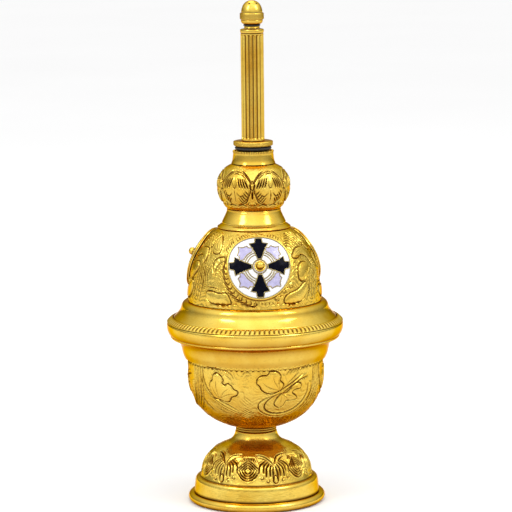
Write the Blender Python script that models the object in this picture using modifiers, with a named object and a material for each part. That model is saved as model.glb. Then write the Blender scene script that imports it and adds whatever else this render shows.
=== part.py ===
"""A rosewater sprinkler built on the footed and covered body of a censer.

The vessel stands on its foot and the cover lifts off it. A fluted tube screws into the neck of the
cover on a rubber gasket, and a perforated acorn screws onto the end of the tube. Everything turns
about +Z. Dimensions are millimetres, and MM takes them to metres.
"""

import math

import bmesh
import bpy
from mathutils import Matrix, Vector

MM = 0.001

# ---------------------------------------------------------------- driving dimensions, millimetres
HEIGHT = 276.9
WALL = 1.2
GAP = 0.3
LARGE_SIDES = 24
SMALL_SIDES = 16

BASE_RADIUS = 37.9
BASE_BEAD = 2.4
FOOT_TOP = 39.0
STEM_BORE = 4.2
BOLT_RADIUS = 3.9
BOWL_BASE = 41.9
BOWL_RADIUS = 37.4
PARTING = 100.2
RIM_RADIUS = 48.7
SEAL_LEVEL = 96.75
SKIRT_TOP = 112.2
DOME_TOP = 152.4
COLLAR_BAND_TOP = 155.1
WAIST = 163.0
BULB_TOP = 187.7
BULB_RADIUS = 19.75
NECK_TOP = 195.0
BUSH_BORE = 7.3
BUSH_RADIUS = 9.6
GASKET_TOP = 197.4
SPIGOT_RADIUS = 7.0
SPIGOT_END = 184.5
FLANGE_RADIUS = 10.9
FLANGE_TOP = 200.2
TUBE_RADIUS = 6.3
TUBE_BORE = 4.6
TUBE_TOP = 258.8
CAP_TOP = 261.3
FLUTES = 16
NIPPLE_RADIUS = 3.3
NIPPLE_BORE = 1.6
NIPPLE_TOP = 268.3
HEAD_BASE = 264.0
HEAD_RADIUS = 6.6
BAND_LOW = 266.5
BAND_HIGH = 270.1

MEDALLION_HEIGHT = 135.2
MEDALLION_RADIUS = 18.0
BOSS_RADIUS = 3.2
KNOB_RADIUS = 2.15
KNOB_HEIGHT = 4.9
STUD_RADIUS = 1.1
STUD_HOLE = 1.5
MEDALLION_SIDES = {"front": -90, "right": 30, "left": 150}

GOLD = ("gilt_brass", (0.86, 0.60, 0.14), 0.16, 1.0)
RUBBER = ("black_rubber", (0.012, 0.012, 0.013), 0.6, 0.0)
WHITE_ENAMEL = ("white_enamel", (0.86, 0.85, 0.88), 0.15, 0.0)
BLACK_ENAMEL = ("black_enamel", (0.008, 0.008, 0.014), 0.12, 0.0)


# ---------------------------------------------------------------- scene, materials, bodies
def new_collection(name):
    collection = bpy.data.collections.new(name)
    bpy.context.scene.collection.children.link(collection)
    return collection


def new_material(name, finish):
    """Each piece has a Principled material of its own, named for the piece and its finish."""
    label, colour, roughness, metallic = finish
    material = bpy.data.materials.new(f"{name}_{label}")
    material.use_nodes = True
    shader = material.node_tree.nodes["Principled BSDF"]
    shader.inputs["Base Color"].default_value = (*colour, 1.0)
    shader.inputs["Roughness"].default_value = roughness
    shader.inputs["Metallic"].default_value = metallic
    return material


def new_body(name, height):
    """An empty on the axis that the pieces of one rigid body are parented to."""
    body = bpy.data.objects.new(name, None)
    body.location = (0, 0, height * MM)
    PARTS.objects.link(body)
    return body


def add_piece(name, mesh, body, finish):
    piece = bpy.data.objects.new(name, mesh)
    mesh.materials.append(new_material(name, finish))
    PARTS.objects.link(piece)
    piece.parent = body
    piece.matrix_parent_inverse = Matrix.Translation(-body.location)
    return piece


# ---------------------------------------------------------------- outlines
def smooth(knots, steps=2):
    """Points along a Catmull-Rom curve through the knots, the knots included."""
    points = [Vector(knot) for knot in knots]
    points = [2 * points[0] - points[1], *points, 2 * points[-1] - points[-2]]
    curve = []
    for before, start, end, after in zip(points, points[1:], points[2:], points[3:]):
        for step in range(steps):
            t = step / steps
            curve.append(
                0.5
                * (
                    2 * start
                    + (end - before) * t
                    + (2 * before - 5 * start + 4 * end - after) * t**2
                    + (3 * start - before - 3 * end + after) * t**3
                )
            )
    curve.append(points[-2])
    return [tuple(point) for point in curve]


def arc(radius, height, size, start, end, steps=6):
    """Points on an arc about (radius, height), with angles in degrees from the outward direction."""
    angles = [math.radians(start + (end - start) * step / steps) for step in range(steps + 1)]
    return [(radius + size * math.cos(a), height + size * math.sin(a)) for a in angles]


# ---------------------------------------------------------------- turned pieces
def turned(name, outline, body, finish, closed=True, sides=LARGE_SIDES):
    """A turned piece. The outline is (radius, height) and runs down its outer side."""
    mesh = bpy.data.meshes.new(name)
    count = len(outline)
    edges = [(i, i + 1) for i in range(count - 1)]
    if closed:
        edges.append((count - 1, 0))
    mesh.from_pydata([(r * MM, 0, z * MM) for r, z in outline], edges, [])
    piece = add_piece(name, mesh, body, finish)
    screw = piece.modifiers.new("turn", "SCREW")
    screw.axis = "Z"
    screw.steps = sides
    screw.render_steps = sides
    screw.use_merge_vertices = True
    screw.merge_threshold = 0.00001
    return piece


def spun(name, outline, body, finish, wall=WALL, sides=LARGE_SIDES):
    """A spun sheet metal shell. The outline is its outer face, and the wall grows inwards."""
    piece = turned(name, outline, body, finish, closed=False, sides=sides)
    solidify = piece.modifiers.new("wall", "SOLIDIFY")
    solidify.thickness = wall * MM
    solidify.offset = -1
    solidify.use_even_offset = True
    return piece


def ring(name, inner, outer, low, high, body, finish, sides=LARGE_SIDES):
    """A plain ring or washer of rectangular section."""
    outline = [(inner, high), (outer, high), (outer, low), (inner, low)]
    return turned(name, outline, body, finish, sides=sides)


# ---------------------------------------------------------------- vessel: foot and bowl
def foot_outline():
    cone = smooth(
        [
            (11.6, FOOT_TOP - 0.4),
            (13.1, 34.9),
            (17.2, 32.2),
            (23.8, 28.4),
            (27.8, 23.4),
            (29.8, 18.0),
            (31.4, 13.8),
        ],
        steps=1,
    )
    band = [(33.6, 13.1), (34.1, 11.0), (34.7, 2 * BASE_BEAD + GAP)]
    return [(STEM_BORE, FOOT_TOP), (11.2, FOOT_TOP), *cone, *band]


def bowl_outline():
    wall = smooth(
        [
            (BOWL_RADIUS, 76.0),
            (36.7, 66.0),
            (34.3, 58.0),
            (29.8, 51.3),
            (23.5, 46.2),
            (12.6, BOWL_BASE + 0.15),
        ],
        steps=1,
    )
    return [(BOWL_RADIUS, PARTING), *wall, (STEM_BORE, BOWL_BASE)]


def gallery_outline():
    """The bowl's rim: flat seat, rolled lip, small bead and a plain hollow band below."""
    seat = [(BOWL_RADIUS + GAP, PARTING), (RIM_RADIUS - 0.5, PARTING)]
    lip = [(RIM_RADIUS, 99.5), (RIM_RADIUS, 96.8), (47.4, 93.7)]
    bead = [(46.6, 92.4), (44.6, 91.2)]
    hollow = [(42.0, 89.2), (40.7, 86.0), (40.1, 83.4), (39.1, 80.6)]
    return [*seat, *lip, *bead, *hollow]


def make_vessel(body):
    centre = BASE_RADIUS - BASE_BEAD
    bead = arc(centre, BASE_BEAD, BASE_BEAD, 90, -90, steps=4)
    turned("base_ring", [(centre - 3.0, 2 * BASE_BEAD), *bead, (centre - 3.0, 0)], body, GOLD)
    spun("foot_shell", foot_outline(), body, GOLD)
    low = FOOT_TOP + GAP
    high = BOWL_BASE - GAP
    middle = (low + high) / 2
    collar = [(10.9, high), (11.3, middle + 0.6), (10.7, middle), (11.3, middle - 0.6), (10.9, low)]
    turned("stem_collar", [(STEM_BORE, high), *collar, (STEM_BORE, low)], body, GOLD)
    spun("bowl_shell", bowl_outline(), body, GOLD)
    spun("bowl_gallery", gallery_outline(), body, GOLD)
    make_stem_fastening(body)


def make_stem_fastening(body):
    """A bolt through the bowl's floor, the collar and the foot, with a seal, a washer and a nut."""
    floor = BOWL_BASE + WALL + GAP
    ring("bolt_seal", STEM_BORE, 8.5, floor, floor + 1.2, body, RUBBER, SMALL_SIDES)
    seat = floor + 1.2 + GAP
    head = [(0, seat + 4.0), (5.8, seat + 4.0), (7.4, seat + 2.6), (7.4, seat)]
    shank = [(BOLT_RADIUS, seat), (BOLT_RADIUS, 26.6), (3.3, 26.0), (0, 26.0)]
    turned("stem_bolt", [*head, *shank], body, GOLD, closed=False, sides=SMALL_SIDES)
    under = FOOT_TOP - WALL - GAP
    ring("stem_washer", STEM_BORE, 8.5, under - 1.2, under, body, GOLD, SMALL_SIDES)
    nut_top = under - 1.2 - GAP
    make_hex_nut("stem_nut", 7.5, 6.5, STEM_BORE, (0, 0, nut_top - 3.25), (0, 0, 1), body)


def flat_outlines(name, outlines, thickness):
    """A flat sheet between closed outlines (x, y), as a curve object outside the collections."""
    curve = bpy.data.curves.new(name, "CURVE")
    curve.dimensions = "2D"
    curve.fill_mode = "BOTH"
    curve.extrude = thickness / 2 * MM
    for outline in outlines:
        spline = curve.splines.new("POLY")
        spline.points.add(len(outline) - 1)
        spline.use_cyclic_u = True
        for point, (x, y) in zip(spline.points, outline):
            point.co = (x * MM, y * MM, 0, 1)
    return curve


def mesh_from_curve(name, curve):
    """The curve's shape as a closed mesh, its caps welded."""
    holder = bpy.data.objects.new(name, curve)
    bpy.context.scene.collection.objects.link(holder)
    graph = bpy.context.evaluated_depsgraph_get()
    mesh = bpy.data.meshes.new_from_object(holder.evaluated_get(graph))
    bpy.data.objects.remove(holder)
    work = bmesh.new()
    work.from_mesh(mesh)
    bmesh.ops.remove_doubles(work, verts=work.verts, dist=0.00001)
    bmesh.ops.recalc_face_normals(work, faces=work.faces)
    work.to_mesh(mesh)
    work.free()
    mesh.name = name
    return mesh


def circle(radius, sides, phase=0.0):
    angles = [2 * math.pi * (i + phase) / sides for i in range(sides)]
    return [(radius * math.cos(a), radius * math.sin(a)) for a in angles]


def make_hex_nut(name, corner, height, bore, centre, axis, body):
    mesh = mesh_from_curve(name, flat_outlines(name, [circle(corner, 6), circle(bore, 12)], height))
    nut = add_piece(name, mesh, body, GOLD)
    nut.location = Vector(centre) * MM
    nut.rotation_euler = Vector(axis).to_track_quat("Z", "Y").to_euler()
    return nut


# ---------------------------------------------------------------- cover
def skirt_outline():
    shoulder = [(34.4, SKIRT_TOP), (37.2, SKIRT_TOP), (39.1, SKIRT_TOP - 0.7)]
    flare = smooth([(40.2, 110.3), (40.8, 108.2), (42.2, 105.9), (44.9, 103.2)], steps=1)
    return [*shoulder, *flare, (44.9, PARTING + GAP)]


def spigot_outline():
    """A pressed ring: flange under the skirt, tube inside the bowl's mouth, groove for the seal."""
    tube = BOWL_RADIUS - WALL - GAP
    high = SEAL_LEVEL + 1.2
    low = SEAL_LEVEL - 1.2
    groove = [(tube, high), (tube - 2, high), (tube - 2, low), (tube, low)]
    return [(43.3, PARTING + GAP), (tube, PARTING + GAP), *groove, (tube, low - 4)]


def dome_knots():
    return [
        (20.4, DOME_TOP - 0.4),
        (25.0, 147.9),
        (29.5, 142.4),
        (33.0, 136.1),
        (35.0, 130.0),
        (35.8, 123.0),
        (36.4, 117.0),
        (36.7, SKIRT_TOP + GAP),
    ]


def bulb_outline():
    side = smooth(
        [
            (12.4, BULB_TOP - 0.2),
            (16.6, 184.4),
            (19.1, 180.0),
            (BULB_RADIUS, 175.6),
            (18.9, 170.0),
            (15.9, 164.6),
            (14.9, WAIST + GAP),
        ],
        steps=1,
    )
    return [(BUSH_RADIUS + GAP, BULB_TOP), (11.9, BULB_TOP), *side]


def make_cover(body):
    spun("cover_skirt", skirt_outline(), body, GOLD)
    seat = PARTING + GAP
    edge = [(48.5, 101.0), (47.8, 101.8), (46.6, 102.7), (45.2, 103.1)]
    turned("rim_trim", [*edge[::-1], (48.6, seat), (45.2, seat)], body, GOLD)
    spun("cover_spigot", spigot_outline(), body, GOLD, wall=1.0)
    seal = arc(35.05, SEAL_LEVEL, 0.85, 90, -210, steps=5)
    turned("spigot_seal", seal, body, RUBBER)

    dome = spun("cover_dome", [(13.0, DOME_TOP), (20.0, DOME_TOP), *smooth(dome_knots(), 1)], body, GOLD)
    cut_stud_holes(dome)
    low = DOME_TOP + GAP
    band = [(13.5, COLLAR_BAND_TOP), (18.0, COLLAR_BAND_TOP), (18.9, 154.5), (20.2, low), (13.5, low)]
    turned("dome_collar", band, body, GOLD)
    cone = [(14.7, WAIST - 0.2), (15.5, 160.0), (17.5, 156.2), (17.6, COLLAR_BAND_TOP + GAP)]
    spun("neck_cone", [(12.2, WAIST), (14.3, WAIST), *cone], body, GOLD)

    spun("bulb_shell", bulb_outline(), body, GOLD)
    inner = BUSH_RADIUS + GAP
    low = BULB_TOP + GAP
    collar = smooth([(11.4, NECK_TOP - 0.2), (11.1, 192.2), (11.5, 189.8), (12.1, low)], steps=1)
    turned("bulb_collar", [(inner, NECK_TOP), (11.1, NECK_TOP), *collar, (inner, low)], body, GOLD)
    ring("neck_bush", BUSH_BORE, BUSH_RADIUS, 181.5, NECK_TOP, body, GOLD, SMALL_SIDES)


# ---------------------------------------------------------------- medallions
def dome_line():
    """(arc length, radius, height) down the dome's outer face."""
    points = [Vector(point) for point in smooth(dome_knots(), 8)]
    line = []
    length = 0.0
    for point, after in zip(points, [*points[1:], None]):
        line.append((length, point))
        if after:
            length += (after - point).length
    return line


def dome_point(line, distance):
    """The dome's (radius, height) and outward normal at an arc length."""
    for (near, start), (far, end) in zip(line, line[1:]):
        if distance <= far or (far, end) == line[-1]:
            along = (end - start).normalized()
            return start + along * (distance - near), Vector((-along.y, along.x))
    return None


def medallion_centre_length(line):
    """The arc length at which the dome is as high as the medallions' centre."""
    for (near, start), (_, end) in zip(line, line[1:]):
        if end.y <= MEDALLION_HEIGHT:
            share = (start.y - MEDALLION_HEIGHT) / (start.y - end.y)
            return near + share * (end - start).length
    return None


def on_dome(line, centre, azimuth, across, up, lift):
    """A point of a medallion, dished to follow the dome, lift millimetres off its face."""
    point, normal = dome_point(line, centre - up)
    if normal.x < 0:
        normal = -normal
    reach = point.x + normal.x * lift
    height = point.y + normal.y * lift
    turn = azimuth + across / point.x
    return Vector((reach * math.cos(turn), reach * math.sin(turn), height)) * MM


def medallion_frame(azimuth):
    """The dome's point at a medallion's centre, and the direction that its stud points out in."""
    line = dome_line()
    point, normal = dome_point(line, medallion_centre_length(line))
    if normal.x < 0:
        normal = -normal
    across = Vector((math.cos(azimuth), math.sin(azimuth), 0))
    outward = (across * normal.x + Vector((0, 0, normal.y))).normalized()
    return (across * point.x + Vector((0, 0, point.y))) * MM, outward


def cut_stud_holes(dome):
    work = bmesh.new()
    for degrees in MEDALLION_SIDES.values():
        centre, outward = medallion_frame(math.radians(degrees))
        turn = outward.to_track_quat("Z", "Y").to_matrix().to_4x4()
        bmesh.ops.create_cone(
            work,
            cap_ends=True,
            segments=12,
            radius1=STUD_HOLE * MM,
            radius2=STUD_HOLE * MM,
            depth=8 * MM,
            matrix=Matrix.Translation(centre) @ turn,
        )
    mesh = bpy.data.meshes.new("stud_holes")
    work.to_mesh(mesh)
    work.free()
    cut(dome, "stud_holes", mesh)


def cut(piece, name, mesh):
    cutter = bpy.data.objects.new(name, mesh)
    cutter.hide_render = True
    cutter.display_type = "WIRE"
    CUTTERS.objects.link(cutter)
    boolean = piece.modifiers.new(name, "BOOLEAN")
    boolean.operation = "DIFFERENCE"
    boolean.solver = "EXACT"
    boolean.object = cutter


def cross_outline(shrink):
    """A cross of four flared arms with a small tab on each end, every edge moved in by shrink."""
    arm = [
        (1.7 - shrink, 1.7 - shrink),
        (1.4 - shrink, 4.2),
        (4.8 - shrink, 12.6 - shrink),
        (1.9 - shrink, 13.4 - shrink),
        (1.5 - shrink, 15.6 - shrink),
    ]
    half = [*arm[1:], *[(-x, y) for x, y in arm[:0:-1]]]
    outline = []
    for quarter in range(4):
        turn = Matrix.Rotation(quarter * math.pi / 2, 2)
        outline += [tuple(turn @ Vector(point)) for point in [arm[0], *half]]
    return outline


def dish(name, outlines, low, high, azimuth, body, finish):
    """A flat sheet between the outlines, low to high off the dome, bent to follow the dome."""
    mesh = mesh_from_curve(name, flat_outlines(name, outlines, 1.0))
    work = bmesh.new()
    work.from_mesh(mesh)
    for place in (-9, 0, 9):
        for axis in (Vector((1, 0, 0)), Vector((0, 1, 0))):
            everything = [*work.verts, *work.edges, *work.faces]
            bmesh.ops.bisect_plane(work, geom=everything, plane_co=axis * place * MM, plane_no=axis)
    line = dome_line()
    centre = medallion_centre_length(line)
    for vert in work.verts:
        lift = high if vert.co.z > 0 else low
        across, up = vert.co.x / MM, vert.co.y / MM
        vert.co = on_dome(line, centre, azimuth, across, up, lift)
    bmesh.ops.triangulate(work, faces=work.faces)
    bmesh.ops.recalc_face_normals(work, faces=work.faces)
    work.to_mesh(mesh)
    work.free()
    return add_piece(name, mesh, body, finish)


def make_medallion(side, degrees, body):
    """A gilt plate with a white field and a black cross, held by a knob whose stud takes a nut."""
    azimuth = math.radians(degrees)
    hole = circle(STUD_HOLE, 12)
    field = circle(MEDALLION_RADIUS - 1.4, LARGE_SIDES)
    plate = [circle(MEDALLION_RADIUS, LARGE_SIDES), hole]
    dish(f"medallion_plate_{side}", plate, 0.3, 1.0, azimuth, body, GOLD)
    enamel = [field, cross_outline(0)]
    dish(f"medallion_enamel_{side}", enamel, 1.3, 1.8, azimuth, body, WHITE_ENAMEL)
    cross = [cross_outline(GAP), circle(STUD_HOLE, 8)]
    dish(f"medallion_cross_{side}", cross, 1.3, 1.8, azimuth, body, BLACK_ENAMEL)

    centre, outward = medallion_frame(azimuth)
    low = 2.15
    knob = arc(0, KNOB_HEIGHT, KNOB_RADIUS, 90, -50, steps=4)
    collar = [(2.4, low + 0.8), (BOSS_RADIUS, low + 0.45), (BOSS_RADIUS, low)]
    head = [(0, KNOB_HEIGHT + KNOB_RADIUS), *knob[1:], *collar]
    stud = [(STUD_RADIUS, low), (STUD_RADIUS, -4.2), (0, -4.2)]
    boss = turned(f"medallion_boss_{side}", [*head, *stud], body, GOLD, closed=False, sides=12)
    boss.location = centre
    boss.rotation_euler = outward.to_track_quat("Z", "Y").to_euler()
    nut_centre = centre / MM - outward * (WALL + GAP + 0.9)
    make_hex_nut(f"boss_nut_{side}", 2.6, 1.6, STUD_HOLE, nut_centre, outward, body)


# ---------------------------------------------------------------- tube and tip
def make_gasket(body):
    ring("neck_gasket", SPIGOT_RADIUS + 0.4, 10.05, NECK_TOP + GAP, GASKET_TOP, body, RUBBER, SMALL_SIDES)


def make_tube(body):
    under = GASKET_TOP + GAP
    rim = [(FLANGE_RADIUS, FLANGE_TOP - 0.3), (FLANGE_RADIUS, under + 0.3)]
    flange = [(FLANGE_RADIUS - 0.3, FLANGE_TOP), *rim, (FLANGE_RADIUS - 0.3, under)]
    spigot = [(SPIGOT_RADIUS, under), (SPIGOT_RADIUS, SPIGOT_END), (3.6, SPIGOT_END)]
    turned("tube_flange", [(3.6, FLANGE_TOP), *flange, *spigot], body, GOLD, sides=SMALL_SIDES)

    low = FLANGE_TOP + GAP
    steps = 4 * FLUTES
    outer = []
    for step in range(steps):
        turn = 2 * math.pi * step / steps
        reach = TUBE_RADIUS - 0.25 + 0.25 * math.cos(FLUTES * turn)
        outer.append((reach * math.cos(turn), reach * math.sin(turn)))
    outlines = [outer, circle(TUBE_BORE, SMALL_SIDES)]
    column = mesh_from_curve("fluted_tube", flat_outlines("fluted_tube", outlines, TUBE_TOP - low))
    fluted = add_piece("fluted_tube", column, body, GOLD)
    fluted.location = (0, 0, (TUBE_TOP + low) / 2 * MM)

    low = TUBE_TOP + GAP
    cap = [(6.0, CAP_TOP), (6.45, CAP_TOP - 0.5), (6.45, low + 0.4), (6.1, low)]
    turned("tube_cap", [(NIPPLE_BORE, CAP_TOP), *cap, (NIPPLE_BORE, low)], body, GOLD, sides=SMALL_SIDES)
    shoulder = HEAD_BASE - 1.3
    foot = CAP_TOP + GAP
    stem = [(4.3, shoulder), (4.2, foot + 0.4), (4.6, foot)]
    nipple = [(NIPPLE_BORE, NIPPLE_TOP), (NIPPLE_RADIUS, NIPPLE_TOP), (NIPPLE_RADIUS, shoulder)]
    turned("tube_neck", [*nipple, *stem, (NIPPLE_BORE, foot)], body, GOLD, sides=SMALL_SIDES)


def make_tip_washer(body):
    inner = NIPPLE_RADIUS + 0.35
    ring("tip_washer", inner, 4.7, HEAD_BASE - 1.0, HEAD_BASE - 0.3, body, RUBBER, SMALL_SIDES)


def make_head(body):
    """The acorn: a threaded cup with an inner sleeve, a grip band round the sleeve, and a crown."""
    bore = NIPPLE_RADIUS + 0.35
    sleeve = [(bore, BAND_HIGH), (4.9, BAND_HIGH), (4.9, BAND_LOW - GAP)]
    cup = [(6.0, BAND_LOW - GAP), (5.8, HEAD_BASE + 1.0), (4.9, HEAD_BASE), (bore, HEAD_BASE)]
    turned("head_cup", [*sleeve, *cup], body, GOLD, sides=SMALL_SIDES)
    edge = HEAD_RADIUS - 0.4
    rim = [(HEAD_RADIUS, BAND_HIGH - 0.4), (HEAD_RADIUS, BAND_LOW + 0.4)]
    band = [(edge, BAND_HIGH), *rim, (edge, BAND_LOW)]
    turned("head_band", [(5.2, BAND_HIGH), *band, (5.2, BAND_LOW)], body, GOLD, sides=SMALL_SIDES)
    shoulder = [(5.6, 272.4), (5.8, 271.2), (5.8, BAND_HIGH + GAP)]
    knots = [(0, HEIGHT), (2.4, HEIGHT - 0.4), (4.4, 274.9), *shoulder]
    crown = spun("head_dome", knots, body, GOLD, wall=0.9, sides=SMALL_SIDES)
    work = bmesh.new()
    for turn in [None, *range(6)]:
        lean = Matrix.Identity(4)
        if turn is not None:
            lean = Matrix.Rotation(turn * math.pi / 3 + 0.1, 4, "Z") @ Matrix.Rotation(0.62, 4, "Y")
        middle = Matrix.Translation((0, 0, (HEIGHT - 7) * MM)) @ lean @ Matrix.Translation((0, 0, 6 * MM))
        size = 0.5 * MM
        bmesh.ops.create_cone(
            work, cap_ends=True, segments=8, radius1=size, radius2=size, depth=5 * MM, matrix=middle
        )
    mesh = bpy.data.meshes.new("spray_holes")
    work.to_mesh(mesh)
    work.free()
    cut(crown, "spray_holes", mesh)


for old in list(bpy.data.objects):
    bpy.data.objects.remove(old)

PARTS = new_collection("rosewater_sprinkler")
CUTTERS = new_collection("cutters")

make_vessel(new_body("vessel", 0))
cover = new_body("cover", PARTING)
make_cover(cover)
for side, degrees in MEDALLION_SIDES.items():
    make_medallion(side, degrees, cover)
make_gasket(new_body("neck_gasket_body", NECK_TOP))
make_tube(new_body("sprinkler_tube", NECK_TOP))
make_tip_washer(new_body("tip_washer_body", HEAD_BASE))
make_head(new_body("sprinkler_head", HEAD_BASE))
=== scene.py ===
"""The looks of a gilt rosewater sprinkler: a chased bowl on a foot, a domed cover with enamel cross
medallions, a lobed bulb, a fluted tube and an acorn tip.

All but the medallions' inlays is turned about +Z from outlines in millimetres, fitted to the CAD pieces.
Chased surfaces add heights drawn on one cell of ornament, which repeats round the axis.
"""

import math

import bmesh
import bpy
import numpy as np
from mathutils import Matrix, Vector


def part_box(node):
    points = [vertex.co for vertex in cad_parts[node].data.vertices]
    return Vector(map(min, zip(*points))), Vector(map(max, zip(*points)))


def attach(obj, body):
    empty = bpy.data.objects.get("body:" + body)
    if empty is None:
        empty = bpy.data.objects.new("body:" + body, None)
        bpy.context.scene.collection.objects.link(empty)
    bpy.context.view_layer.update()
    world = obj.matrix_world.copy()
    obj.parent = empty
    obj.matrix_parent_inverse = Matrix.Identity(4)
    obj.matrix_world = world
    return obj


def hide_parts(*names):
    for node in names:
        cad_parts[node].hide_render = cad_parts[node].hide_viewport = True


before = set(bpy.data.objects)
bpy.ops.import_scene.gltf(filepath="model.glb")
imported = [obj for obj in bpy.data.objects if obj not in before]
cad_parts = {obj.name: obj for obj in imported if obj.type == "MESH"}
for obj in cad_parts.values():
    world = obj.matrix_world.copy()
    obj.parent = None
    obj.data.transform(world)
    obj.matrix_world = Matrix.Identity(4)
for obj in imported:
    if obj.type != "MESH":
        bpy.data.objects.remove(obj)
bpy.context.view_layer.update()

MM = 0.001
WALL = 1.2
FRONT = -math.pi / 2
SIDES = {"front": -90, "right": 30, "left": 150}

BOWL_CELLS = 3
DOME_CELLS = 3
FOOT_CELLS = 6
BULB_CELLS = 6
FLUTES = 16
TRIM_BEADS = 112

# a shell's ornament has its true width at this radius and its true heights near this level
FOOT_RADIUS, FOOT_LEVEL = 28.9, 20.6
BOWL_RADIUS, BOWL_LEVEL = 37.4, 73.0
DOME_RADIUS, MEDALLION_LEVEL = 36.6, 135.2
BULB_RADIUS, BULB_LEVEL = 19.75, 175.8

LIT_MIDDLE = Vector((0, 0, 0.14))


# ---------------------------------------------------------------- outlines
def smooth(knots, spacing=0.5, closed=False):
    """Points about spacing apart on a Catmull-Rom curve through the knots."""
    knots = np.array(knots, float)
    if closed:
        ends = np.vstack([knots[-1:], knots, knots[:2]])
    else:
        ends = np.vstack([2 * knots[:1] - knots[1:2], knots, 2 * knots[-1:] - knots[-2:-1]])
    points = []
    for before, start, end, after in zip(ends, ends[1:], ends[2:], ends[3:]):
        steps = max(2, int(math.ceil(np.linalg.norm(end - start) / spacing)))
        t = (np.arange(steps) / steps)[:, None]
        bend = (2 * before - 5 * start + 4 * end - after) * t**2
        twist = (3 * start - before - 3 * end + after) * t**3
        points.append(0.5 * (2 * start + (end - before) * t + bend + twist))
    if not closed:
        points.append(knots[-1:])
    return np.vstack(points)


def arc(centre, size, start, end, spacing=0.3):
    """Points on an arc, with angles in degrees from the outward direction."""
    steps = max(4, int(abs(math.radians(end - start)) * size / spacing))
    angles = np.radians(np.linspace(start, end, steps + 1))
    return np.stack([centre[0] + size * np.cos(angles), centre[1] + size * np.sin(angles)], 1)


def along(points):
    """Distance along a line of points, from its first one."""
    return np.concatenate([[0], np.cumsum(np.linalg.norm(np.diff(points, axis=0), axis=1))])


def resample(points, count):
    length = along(points)
    places = np.linspace(0, length[-1], count)
    return np.stack([np.interp(places, length, points[:, axis]) for axis in (0, 1)], 1)


def outward(points, closed=False):
    """Unit normals of a line that runs down its outer side."""
    if closed:
        step = np.roll(points, -1, 0) - np.roll(points, 1, 0)
    else:
        step = np.gradient(points, axis=0)
    step /= np.maximum(np.linalg.norm(step, axis=1, keepdims=True), 1e-9)
    return np.stack([-step[:, 1], step[:, 0]], 1)


def inner_face(outer, wall, rows):
    """The inside of a sheet whose outside is outer, from the bottom up."""
    coarse = resample(outer, rows)
    inside = coarse - outward(coarse) * wall
    inside[0, 1] = coarse[0, 1] - (wall if abs(outward(coarse)[0, 1]) > 0.7 else 0)
    inside[-1, 1] = coarse[-1, 1]
    return inside[::-1]


def extent(node):
    """A CAD node's top, bottom and widest radius in millimetres."""
    low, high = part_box(node)
    return high.z / MM, low.z / MM, high.x / MM


def fitted(points, node):
    """Stretches an outline by the little that takes its height and widest radius to the CAD node's."""
    high, low, radius = extent(node)
    points = np.array(points, float)
    bottom, top = points[:, 1].min(), points[:, 1].max()
    points[:, 1] = low + (points[:, 1] - bottom) / (top - bottom) * (high - low)
    points[:, 0] *= radius / points[:, 0].max()
    return points


# ---------------------------------------------------------------- meshes
def thread_rings(first, last, pitch, crest, root):
    """Crests and roots of a thread as rings, a pitch apart between two levels."""
    rings = []
    for level in np.arange(first, last, pitch):
        rings += [(crest, level), (root, level + pitch / 2)]
    return rings


def from_row(rows, values):
    """Ornament for a section whose first rows, that many, stay plain."""
    return np.pad(values, ((rows, 0), (0, 0)))


def knurling(levels, knurls, per_knurl, slope):
    """How deep two crossing sets of cuts are at each point of a band, 0 to 1."""
    turn = np.pi * np.arange(knurls * per_knurl)[None, :] / per_knurl
    lean = (levels * slope)[:, None]
    return 1 - (np.abs(np.sin(turn + lean)) * np.abs(np.sin(turn - lean))) ** 0.6


def new_piece(name, mesh, material, body, node):
    piece = bpy.data.objects.new(name, mesh)
    bpy.context.scene.collection.objects.link(piece)
    mesh.materials.append(material)
    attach(piece, body)
    if node:
        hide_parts(node)
    return piece


def lathe(name, section, columns, lift=None, cuts=None, start=FRONT, sharp=40):
    """A mesh turned from a closed section, or an open one whose ends are on the axis.

    lift holds the heights of the ornament on the section's first rows, and cuts how deeply it is engraved,
    which the gilt materials darken as painted shade.
    """
    section = np.array(section, float)
    rows = len(section)
    capped = section[0, 0] < 1e-6 and section[-1, 0] < 1e-6
    normals = outward(section, closed=not capped)
    height = np.zeros((rows, columns))
    if lift is not None:
        height[: len(lift)] = lift
    turn = start + 2 * np.pi * np.arange(columns) / columns
    reach = section[:, :1] + normals[:, :1] * height
    level = section[:, 1:] + normals[:, 1:] * height
    places = np.stack([reach * np.cos(turn), reach * np.sin(turn), level], -1).reshape(-1, 3) * MM

    upper = np.arange(rows - 1 if capped else rows)[:, None]
    lower = (upper + 1) % rows
    left = np.arange(columns)[None, :]
    right = (left + 1) % columns
    corners = [upper * columns + left, lower * columns + left]
    corners += [lower * columns + right, upper * columns + right]
    faces = np.stack(corners, -1).reshape(-1, 4)

    mesh = bpy.data.meshes.new(name)
    mesh.from_pydata(places, [], faces)
    depth = np.zeros((rows, columns), np.float32)
    if cuts is not None:
        depth[: len(cuts)] = cuts
    # the engraved depth, which the gilt materials darken as painted shade in the grooves
    engraving_painted_shade = mesh.attributes.new("engraving_painted_shade", "FLOAT", "POINT")
    engraving_painted_shade.data.foreach_set("value", depth.ravel())
    if capped:
        weld(mesh)
    mesh.shade_smooth()
    if sharp:
        mesh.set_sharp_from_angle(angle=math.radians(sharp))
    return mesh


def weld(mesh):
    work = bmesh.new()
    work.from_mesh(mesh)
    bmesh.ops.remove_doubles(work, verts=work.verts, dist=1e-7)
    work.to_mesh(mesh)
    work.free()


def turned(name, section, columns, material, body, node, slot="gilt_brass", **shape):
    """A turned piece on a body, which stands for one of its CAD nodes."""
    return new_piece(name, lathe(name, section, columns, **shape), material, body, node)


def sheet(outer, wall=WALL, rows=14):
    """A closed section: the outside as given, then the inside of the metal."""
    return np.vstack([outer, inner_face(outer, wall, rows)])


# ---------------------------------------------------------------- chased ornament
def beside(x, hand, *points):
    """Points that count outwards from x: to the left for hand -1, to the right for 1."""
    return [(x + hand * across, up) for across, up in points]


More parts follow.
